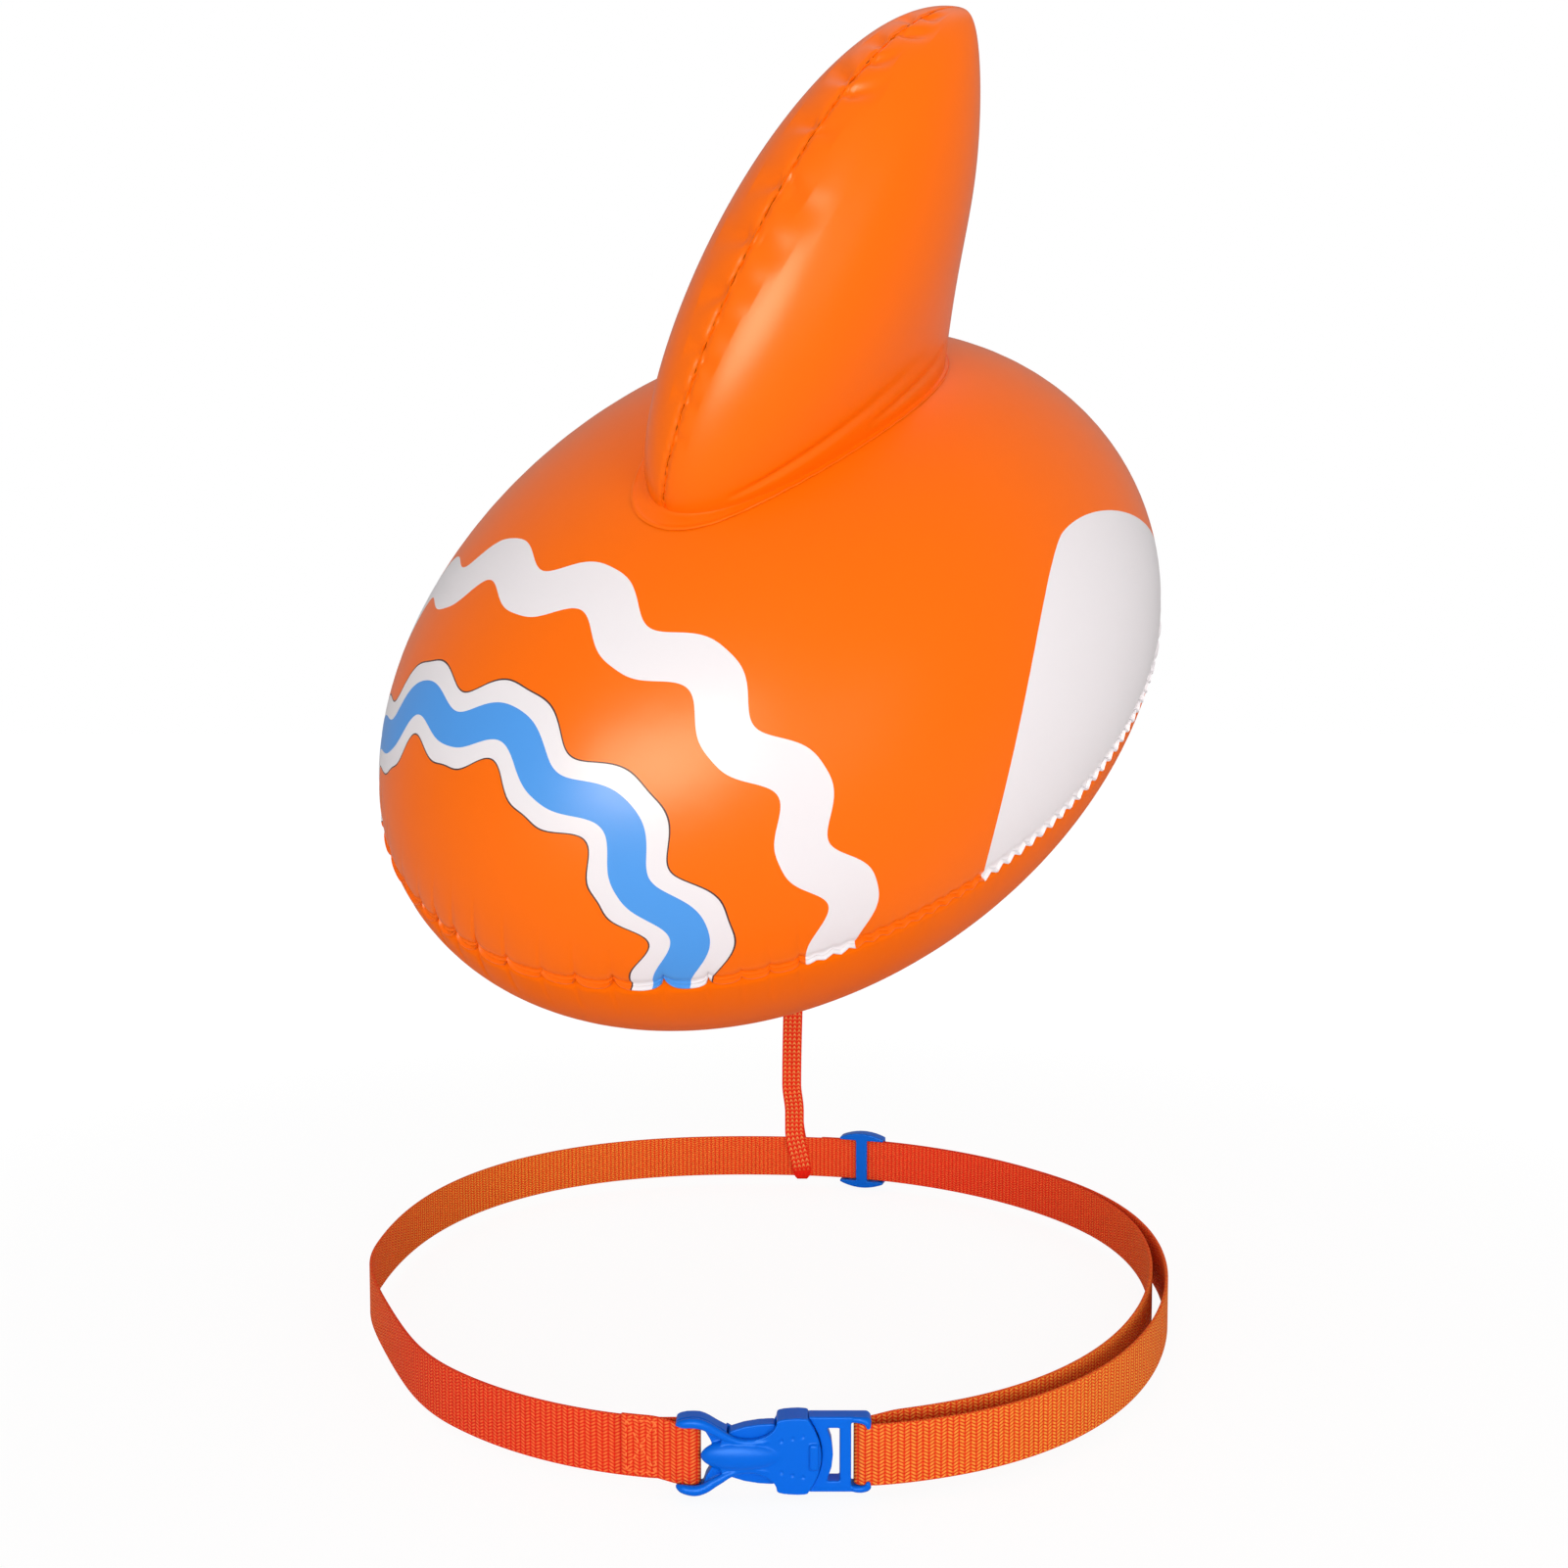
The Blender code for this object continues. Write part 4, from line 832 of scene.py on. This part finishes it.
# %% Find the loop and the turns round the buckle's bars
LOOP_BENDS = ((133, 49, 0.070), (-155.5, 25, -0.032), (-110, 39, 0.026), (-18, 50, -0.048))
SEAT_GAP = 0.0003
PLY_PITCH = 0.0018
BAR_RADIUS = 0.0018
WRAP_RADIUS = BAR_RADIUS + SEAT_GAP + BELT_THICKNESS / 2
WRAP_STEPS = 16
BUCKLE_X = 0.0023
BUCKLE_Y = -0.207
BUCKLE_HALF_LENGTH = 0.0405
SOCKET_BAR_SHARE = -0.765
CLIP_BAR_SHARE = 0.913
APPROACH = math.radians(5)
MEET_ANGLE = math.radians(40)
OUTER_PLY_BULGE = 0.006
OUTER_PLY_SKEW = 0.55


def loop_radius(angle):
    """The loop is round but for a few soft bends: angle and reach in degrees, depth as a share."""
    shape = 1
    for centre, reach, depth in LOOP_BENDS:
        off = abs((angle - math.radians(centre) + math.pi) % (2 * math.pi) - math.pi)
        shape += depth * (1 + math.cos(math.pi * min(off / math.radians(reach), 1))) / 2
    return BELT_RADIUS * shape


def loop_point(angle, stand_off):
    reach = loop_radius(angle) + stand_off
    return (reach * math.cos(angle), reach * math.sin(angle), 0.0)


def bar_place(share):
    """The angle of one of the buckle's bars, and how far it stands off the loop."""
    x = BUCKLE_X + share * BUCKLE_HALF_LENGTH
    angle = math.atan2(BUCKLE_Y, x)
    return angle, math.hypot(x, BUCKLE_Y) - loop_radius(angle)


def wrap(angle, stand_off, toward, first, last):
    """The turn of the webbing round a bar."""
    centre = np.array(loop_point(angle, stand_off))
    radial = np.array([math.cos(angle), math.sin(angle), 0])
    tangent = np.array([-math.sin(angle), math.cos(angle), 0]) * toward
    turns = [first + (last - first) * step / WRAP_STEPS for step in range(1, WRAP_STEPS)]
    return [tuple(centre + WRAP_RADIUS * (radial * math.cos(t) + tangent * math.sin(t))) for t in turns]


def by_bar(bar_angle, at_bar, away):
    """A stand-off that eases from its value at a bar to another over the next few degrees."""
    def stand(angle):
        ease = float(smoothstep(np.array(abs(angle - bar_angle) / APPROACH)))
        return at_bar + (away - at_bar) * ease
    return stand


female_angle, female_stand = bar_place(SOCKET_BAR_SHARE)
male_angle, male_stand = bar_place(CLIP_BAR_SHARE)


def outer_stand(angle):
    """The outer ply stands off the inner one by the clip, and lies on it past the meeting."""
    way = (angle - male_angle) / (MEET_ANGLE - male_angle)
    if way >= 1:
        return PLY_PITCH
    start = male_stand + WRAP_RADIUS - PLY_PITCH
    bulge = OUTER_PLY_BULGE * math.sin(math.pi * max(way, 0.0) ** OUTER_PLY_SKEW)
    return PLY_PITCH + start * (1 - way) ** 2 + bulge


print("buckle bars at %.1f and %.1f degrees" % (math.degrees(female_angle), math.degrees(male_angle)))

# %% Lay the belt's three lengths
BELT_STEP = 0.0011
STATION = math.radians(0.6)
FOLD_LENGTH = 0.028
FOLD_LIFT = 0.0014
LIFT_START = 0.012
LIFT_FADE = 0.014
SPLIT = math.radians(-25)
TAIL_END = math.radians(81)


def belt_points(first, last, stand):
    count = max(2, round(abs(last - first) / STATION))
    return [loop_point(a, stand(a)) for a in np.linspace(first, last, count + 1)]


def belt(name, points, body, stands_for, end_lift=0.0):
    """A piece of the belt. Its first end can stand a little proud upwards, as a sewn fold does."""
    route = resample(np.array(points), BELT_STEP)
    run = run_length(route)
    route[:, 2] += end_lift * (1 - smoothstep((run - LIFT_START) / LIFT_FADE))
    across = np.tile([0.0, 0.0, 1.0], (len(route), 1))
    return strap(name, route, across, BELT_WIDTH, BELT_THICKNESS, belt_weave, body, stands_for)


fold_angle = female_angle - FOLD_LENGTH / BELT_RADIUS
half_gap = SEAT_GAP / BELT_RADIUS / 2
main = belt_points(fold_angle, female_angle,
                   by_bar(female_angle, female_stand + WRAP_RADIUS, PLY_PITCH))
main += wrap(female_angle, female_stand, 1, 0.0, math.pi)
main += belt_points(female_angle, SPLIT - 2 * math.pi + half_gap,
                    by_bar(female_angle, female_stand - WRAP_RADIUS, 0.0))
belt("waist_webbing", main, ROOT, ("waist_strap",), end_lift=FOLD_LIFT)

loop = belt_points(SPLIT - half_gap, male_angle, by_bar(male_angle, male_stand - WRAP_RADIUS, 0.0))
loop += wrap(male_angle, male_stand, -1, math.pi, 0.0)
loop += belt_points(male_angle, SPLIT - half_gap, outer_stand)
front_loop = belt("front_loop_webbing", loop, None, ("strap_front_loop",))
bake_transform(front_loop)

belt("tail_webbing", belt_points(SPLIT + half_gap, TAIL_END, outer_stand), ROOT, ("strap_tail",))

# %% [markdown]
# ## The leash
#
# The leash is one ribbon. It is sewn back on itself round the bridge under the float, drops to the
# back of the belt, slants across its inner face, folds under it and comes up outside. A simulation
# could hang it, but the photograph shows its line, so its points are listed and a smooth curve is
# drawn through them. It is pulled narrow at its fold.

# %% Draw the leash through its points
LEASH_WIDTH = 0.012
LEASH_THICKNESS = 0.0014
LEASH_X = 0.014671
LEASH_STEP = 0.0009
LEASH_SLANT = 0.0050
LEASH_LEAN = 0.0018
FOLD_BARE = 0.0075
LEASH_ROUTE = (
    (0.1541, 0.1666), (0.1509, 0.1761), (0.1481, 0.1839), (0.1462, 0.1885), (0.1438, 0.1944),
    (0.1420, 0.1996), (0.1404, 0.2022), (0.1389, 0.2030), (0.1374, 0.2022), (0.1344, 0.1998),
    (0.1309, 0.1966), (0.1302, 0.1946), (0.1312, 0.1932), (0.1337, 0.1922), (0.1385, 0.1899),
    (0.1428, 0.1866), (0.1460, 0.1822), (0.1492, 0.1756), (0.1605, 0.1425), (0.1749, 0.1000),
    (0.1883, 0.0606), (0.1945, 0.0422), (0.1983, 0.0300), (0.2004, 0.0210), (0.2011, 0.0130),
    (0.2011, 0.0000), (0.2011, -0.0105), (0.2017, -0.0130), (0.2034, -0.0141), (0.2051, -0.0130),
    (0.2057, -0.0105), (0.2057, 0.0000), (0.2057, 0.0130), (0.2051, 0.0190), (0.2034, 0.0252),
    (0.2005, 0.0336), (0.1963, 0.0428), (0.1901, 0.0612), (0.1883, 0.0666),
)


def through(points, per_span):
    """A smooth curve through the points."""
    ends = [points[0]] + list(points) + [points[-1]]
    route = []
    for index in range(len(points) - 1):
        p0, p1, p2, p3 = (np.array(p) for p in ends[index:index + 4])
        for t in np.arange(per_span) / per_span:
            route.append(0.5 * (2 * p1 + (p2 - p0) * t + (2 * p0 - 5 * p1 + 4 * p2 - p3) * t ** 2
                                + (3 * p1 - p0 - 3 * p2 + p3) * t ** 3))
    route.append(np.array(points[-1]))
    return np.array(route)


side_view = through(LEASH_ROUTE, 10)
level = side_view[:, 1]
side_run = run_length(side_view)
to_fold = side_run - side_run[int(np.argmin(level))]
slant = LEASH_SLANT * smoothstep((to_fold + 0.034) / 0.030) * smoothstep((0.040 - to_fold) / 0.036)
slant -= LEASH_LEAN * smoothstep((level - 0.03) / 0.02) * smoothstep((0.17 - level) / 0.12)
leash_path = np.stack([LEASH_X + slant, side_view[:, 0], level], axis=1)
leash_path = resample(leash_path, LEASH_STEP)
leash_ahead = unit(np.gradient(leash_path, axis=0))
leash_side = np.tile([1.0, 0.0, 0.0], (len(leash_path), 1))
leash_side = unit(leash_side - leash_ahead * np.sum(leash_side * leash_ahead, axis=1)[:, None])
leash_run = run_length(leash_path)
fold = int(np.argmin(leash_path[:, 2]))
from_fold = leash_run - leash_run[fold]
gathered = 1 - 0.10 * hill(from_fold, 0.008) - 0.36 * hill(from_fold, 0.0028)

# %% Weave and lay the leash
# Leash yarns: EA1C02 is their painted shade and FFB464 their painted highlight.
leash_weave = webbing_material("leash_webbing", "EA1C02", "FFB464", column=0.0014, yarn=0.0030,
                               slant=0.0018, along_rows=False, ridge_power=2.8, dip_power=1.5,
                               dip_columns=2, bare=(float(leash_run[fold]), FOLD_BARE))
leash = strap("leash_webbing", leash_path, leash_side, LEASH_WIDTH, LEASH_THICKNESS, leash_weave,
              ROOT, ("leash_strap",), narrow=gathered, columns=6)

# %% [markdown]
# ## Stitches
#
# The belt's fold is sewn in a box with a cross, and the leash in rows. A bump could draw thread,
# but it stands on top of the webbing. So one stitch is a small stretched bead, which is copied
# along each sewn line, and the copies are joined.

# %% Sew the belt's fold and the leash
STITCH_RADIUS = 0.00032
STITCH_LENGTH_SHARE = 0.72
BELT_STITCH = 0.0026
LEASH_STITCH = 0.0022
SEWN_LENGTH = 0.012
SEWN_INSET = 0.0022
SEWN_TOP = 0.0118
SEWN_FOOT = -0.0092
LEASH_ROW_INSET = 0.0012
ROWS_ABOVE_FOLD = (0.0165, 0.060, 0.064, 0.078)
ROWS_AT_START = (0.004, 0.010)


def stitch_rows(name, lines, pitch):
    """Stitches along lines of (start, end, outward)."""
    deselect()
    bpy.ops.mesh.primitive_uv_sphere_add(segments=10, ring_count=6, radius=1.0)
    pattern = bpy.context.object
    made = []
    for start, end, facing in lines:
        start, end, facing = Vector(start), Vector(end), Vector(facing).normalized()
        count = max(1, round((end - start).length / pitch))
        step = (end - start) / count
        ahead = step.normalized()
        turn = Matrix((ahead, facing.cross(ahead), facing)).transposed().to_4x4()
        size = Matrix.Diagonal((step.length * STITCH_LENGTH_SHARE / 2, STITCH_RADIUS,
                                STITCH_RADIUS * 0.8, 1.0))
        for index in range(count):
            middle = start + step * (index + 0.5) + facing * STITCH_RADIUS * 0.4
            bead = copy_of(pattern)
            bead.data.transform(Matrix.Translation(middle) @ turn @ size)
            made.append(bead)
    bpy.data.objects.remove(pattern)
    item = join(made)
    smooth(item)
    return ready(item, name, thread)


def on_belt(angle, height):
    """A place on the outer face of the belt's fold."""
    x, y, _ = loop_point(angle, PLY_PITCH + BELT_THICKNESS / 2)
    return (x, y, height)


def across_leash(distance):
    """A line of thread across the leash at a distance along it, on its front face."""
    index = int(np.argmin(np.abs(leash_run - distance)))
    facing = np.cross(leash_side[index], leash_ahead[index])
    facing = facing * (-1 if facing[1] > 0 else 1)
    middle = leash_path[index] + facing * (LEASH_THICKNESS / 2)
    half = leash_side[index] * (LEASH_WIDTH / 2 - LEASH_ROW_INSET)
    return (tuple(middle - half), tuple(middle + half), tuple(facing))


sewn_start = fold_angle + SEWN_INSET / BELT_RADIUS
sewn_end = sewn_start + SEWN_LENGTH / BELT_RADIUS
facing = (math.cos(sewn_start), math.sin(sewn_start), 0)
corners = [on_belt(sewn_start, SEWN_TOP), on_belt(sewn_end, SEWN_TOP),
           on_belt(sewn_end, SEWN_FOOT), on_belt(sewn_start, SEWN_FOOT)]
lines = [(corners[i], corners[(i + 1) % 4], facing) for i in range(4)]
lines += [(corners[0], corners[2], facing), (corners[1], corners[3], facing)]
stitch_rows("buckle_end_stitches", lines, BELT_STITCH)

rows = [across_leash(leash_run[fold] - distance) for distance in ROWS_ABOVE_FOLD]
rows += [across_leash(distance) for distance in ROWS_AT_START]
stitch_rows("leash_stitches", rows, LEASH_STITCH)

# %% [markdown]
# ## Moulded plastic
#
# Plastic leaves its mould in one skin with rounded edges and soft fillets. Bevels fail where forms
# cross, so a copy of each CAD solid is merged, its finer forms are joined to it, and a voxel remesh
# makes one skin of them, which is then relaxed. The socket half gets its long tongue and the two
# arms that sweep from the bar in front of the webbing and on under the windows. A rod is a grid
# rolled into a tube whose ends close.

# %% Model the finer forms of the buckle
BUCKLE_PLACE = np.array([BUCKLE_X, BUCKLE_Y, 0.0])
BUCKLE_HALF_HEIGHT = 0.0153
WALL_BACK = 0.0037  # the socket's front wall ends here, so its chamber stays free for the prongs
TONGUE_SIZE = np.array([0.0172, 0.0044, 0.0068])
TONGUE_PLACE = np.array([-0.0105, -0.0031, 0.0])
TONGUE_TAPER = 0.10
ROD_DEPTH_SHARE = 0.85
ARM_ROUTE = (
    (-0.925, -0.0036, 0.80, 0.0010), (-0.86, -0.0048, 0.86, 0.0018), (-0.74, -0.0053, 0.90, 0.0021),
    (-0.64, -0.0053, 0.84, 0.0020), (-0.55, -0.0050, 0.70, 0.0019), (-0.47, -0.0050, 0.58, 0.0017),
    (-0.40, -0.0050, 0.48, 0.0014), (-0.30, -0.0050, 0.385, 0.0012), (-0.18, -0.0050, 0.35, 0.0011),
    (-0.05, -0.0050, 0.385, 0.0010), (0.03, -0.0050, 0.47, 0.0007),
)
CORNER_ROUTE = (
    (0.80, -0.0030, 0.93, 0.0012), (0.90, -0.0034, 0.92, 0.0014), (0.955, -0.0038, 0.86, 0.0013),
    (0.965, -0.0040, 0.76, 0.0011), (0.960, -0.0040, 0.70, 0.0008),
)


def rod(route, side):
    """A closed rod along (x share, y, z share, half height), above or below the buckle's middle."""
    item, u, v = grid(96, 24)
    steps = through([(x * BUCKLE_HALF_LENGTH, y, side * z * BUCKLE_HALF_HEIGHT, half)
                     for x, y, z, half in route], 12)
    shares = np.linspace(0, 1, len(steps))
    place = np.stack([np.interp(u, shares, steps[:, k]) for k in range(4)], axis=1)
    ahead = unit(np.gradient(steps[:, [0, 2]], axis=0))
    lean = np.stack([np.interp(u, shares, ahead[:, k]) for k in range(2)], axis=1)
    close = np.sqrt(np.maximum(1 - np.abs(2 * u - 1) ** 10, 0)) * place[:, 3]
    up = close * np.cos(2 * math.pi * v)
    out = close * ROD_DEPTH_SHARE * np.sin(2 * math.pi * v)
    points = np.stack([place[:, 0] - lean[:, 1] * up, place[:, 1] - out,
                       place[:, 2] + lean[:, 0] * up], axis=1)
    move_to(item, points + BUCKLE_PLACE)
    apply_modifier(item, "WELD", merge_threshold=WIDE_MERGE)
    return item


def tongue():
    """The long smooth tongue on the front of the socket half."""
    deselect()
    bpy.ops.mesh.primitive_uv_sphere_add(segments=96, ring_count=48, radius=1.0)
    item = bpy.context.object
    points = places(item) * TONGUE_SIZE
    points[:, 2] *= 1 - TONGUE_TAPER * smoothstep(points[:, 0] / 0.017 + 0.2)
    points += TONGUE_PLACE
    points[:, 1] = np.minimum(points[:, 1], -WALL_BACK)
    move_to(item, points + BUCKLE_PLACE)
    return item


# %% Mould the buckle and the slider
MOULD_VOXEL = 0.00032


def moulded(name, node_name, body, rounds=7, extras=()):
    """A CAD solid and its finer forms as one relaxed skin."""
    item = copy_of(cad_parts[node_name])
    apply_modifier(item, "WELD", merge_threshold=MERGE)
    for extra in extras:
        in_edit_mode(extra, bpy.ops.mesh.normals_make_consistent, inside=False)
    if extras:
        item = join([item, *extras])
    apply_modifier(item, "REMESH", mode="VOXEL", voxel_size=MOULD_VOXEL)
    apply_modifier(item, "SMOOTH", factor=0.5, iterations=rounds)
    only(item)
    bpy.ops.object.shade_smooth()
    return ready(item, name, acetal, body, (node_name,))


moulded("buckle_socket", "buckle_female", ROOT,
        extras=[tongue(), rod(ARM_ROUTE, 1), rod(ARM_ROUTE, -1)])
moulded("buckle_clip", "buckle_male", CLIP, extras=[rod(CORNER_ROUTE, 1), rod(CORNER_ROUTE, -1)])
moulded("buckle_prong_upper", "prong_upper", "upper_latch")
moulded("buckle_prong_lower", "prong_lower", "lower_latch")
moulded("slider_frame", "tri_glide", "slider", rounds=12)

# %% [markdown]
# ## Finishes for the solids that stay
#
# The valves and the anchor are plain turned and flat forms, so they keep their CAD shapes and get
# real finishes. The hidden solids get the finish of the piece that stands for them, but the fin's
# flange gets the weld finish, while its stand-in is plain film.

# %% Give every CAD node its finish
CAD_SMOOTHING = 32
FINISHED_NODES = (
    (weld, "anchor_patch anchor_bridge fin_flange"),
    (clear, "body_valve_base body_valve_flap body_valve_plug"),
    (clear, "fin_valve_base fin_valve_flap fin_valve_plug"),
    (acetal, "tri_glide buckle_female buckle_male prong_upper prong_lower"),
    (printed, "upper_panel"),
    (under, "lower_panel"),
    (vinyl, "fin_left_panel fin_right_panel"),
    (belt_weave, "waist_strap strap_front_loop strap_tail"),
    (leash_weave, "leash_strap"),
)
finishes = {name: finish for finish, names in FINISHED_NODES for name in names.split()}
for node_name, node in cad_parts.items():
    node.data.materials.clear()
    node.data.materials.append(finishes[node_name])
    if not node.hide_render:
        smooth(node, CAD_SMOOTHING)
print("CAD nodes with a finish:", len(finishes))

# %% [markdown]
# ## Stage
#
# The ground is white with a soft shadow. More light would make it white, but would wash out the
# film too. So it glows for the rays that see it straight, and less so near the object, where it
# keeps the shadow. Reflections see a dimmer ground, because a white one turns the film milky.

# %% Floor and backdrop
FLOOR_LEVEL = -0.0185
FLOOR_GREY = (0.92, 0.92, 0.92, 1.0)
WHITE = (1, 1, 1, 1)
REFLECTED_GLOW = 0.35
STRAIGHT_GLOW = 0.69
SHADOW_REACH = 0.35
GLOW_REACH = 1.1
GLOW_BY_OBJECT = 0.88
REFLECTED_FRONT = 0.12
REFLECTED_BACK = 0.35
ROOM_LIGHT = 0.52


def straight_rays(tree):
    """1 for the rays that see the background from the camera or through clear film."""
    paths = add(tree, "LightPath").outputs
    return calc(tree, "MAXIMUM", paths["Is Camera Ray"], paths["Is Transmission Ray"])


def background_rays(tree):
    """1 for the rays that see the background straight, or as a reflection."""
    glossy = add(tree, "LightPath").outputs["Is Glossy Ray"]
    return calc(tree, "MAXIMUM", straight_rays(tree), glossy)


deselect()
bpy.ops.mesh.primitive_plane_add(size=12.0, location=(0, 2.0, FLOOR_LEVEL))
floor = bpy.context.object
floor.name = "studio_floor"
floor_finish = bpy.data.materials.new("studio_floor")
floor_finish.use_nodes = True
tree = floor_finish.node_tree
surface = tree.nodes["Principled BSDF"]
surface.inputs["Base Color"].default_value = FLOOR_GREY
surface.inputs["Roughness"].default_value = 0.9
surface.inputs["Specular IOR Level"].default_value = 0.0
glow_strength = calc(tree, "MULTIPLY_ADD", straight_rays(tree), STRAIGHT_GLOW, REFLECTED_GLOW)
glow = add(tree, "Emission", {"Color": WHITE, "Strength": glow_strength})
distance = add(tree, "VectorMath", add(tree, "NewGeometry"), operation="LENGTH").outputs["Value"]
far = add(tree, "MapRange", {"Value": distance, "From Min": SHADOW_REACH, "From Max": GLOW_REACH,
                             "To Min": GLOW_BY_OBJECT}, interpolation_type="SMOOTHSTEP")
share = calc(tree, "MULTIPLY", background_rays(tree), far)
blend = add(tree, "MixShader", share, surface, glow)
tree.links.new(blend.outputs[0], tree.nodes["Material Output"].inputs["Surface"])
floor.data.materials.append(floor_finish)

world = bpy.data.worlds.new("studio")
bpy.context.scene.world = world
world.use_nodes = True
tree = world.node_tree
way = add(tree, "SeparateXYZ", add(tree, "TexCoord").outputs["Generated"]).outputs
backdrop = add(tree, "MapRange", {"Value": way[1], "From Min": -0.5, "From Max": 0.5,
                                  "To Min": REFLECTED_FRONT, "To Max": REFLECTED_BACK})
backdrop = calc(tree, "MAXIMUM", backdrop, straight_rays(tree))
strength = add(tree, "Mix", {0: background_rays(tree), 2: ROOM_LIGHT, 3: backdrop})
tree.nodes["Background"].inputs["Color"].default_value = WHITE
tree.links.new(strength.outputs[0], tree.nodes["Background"].inputs["Strength"])
print("floor at %.4f m" % FLOOR_LEVEL)

# %% [markdown]
# ## Light
#
# One large soft light in front does most of the work. A wider card at the same place lights only
# glossy reflections, so it spreads the film's glints. A weak fill lifts the right side and shows in
# no reflection, and a faint top light ends the set.

# %% Hang the lamps
KEY_PLACE = (-0.64, -4.0, 0.49)
KEY_TARGET = (0, 0, 0.35)


def soft_light(name, place, target, width, height, watts):
    data = bpy.data.lights.new(name, "AREA")
    data.shape = "RECTANGLE"
    data.size = width
    data.size_y = height
    data.energy = watts
    lamp = link(bpy.data.objects.new(name, data))
    lamp.location = place
    lamp.rotation_euler = (Vector(place) - Vector(target)).to_track_quat("Z", "Y").to_euler()
    print("%-12s %5.1f W" % (name, watts))
    return lamp


soft_light("key_light", KEY_PLACE, KEY_TARGET, 1.7, 1.9, 77.0)
card = soft_light("glint_card", KEY_PLACE, KEY_TARGET, 3.2, 2.2, 230.0)
card.visible_diffuse = False
fill = soft_light("fill_light", (1.1, -1.7, 0.45), (0, 0, 0.15), 1.1, 0.8, 9.0)
fill.visible_glossy = False
soft_light("top_light", (0.1, 0.4, 1.8), (0, 0, 0.2), 1.1, 1.1, 1.5)
bpy.context.scene.view_settings.view_transform = "Standard"
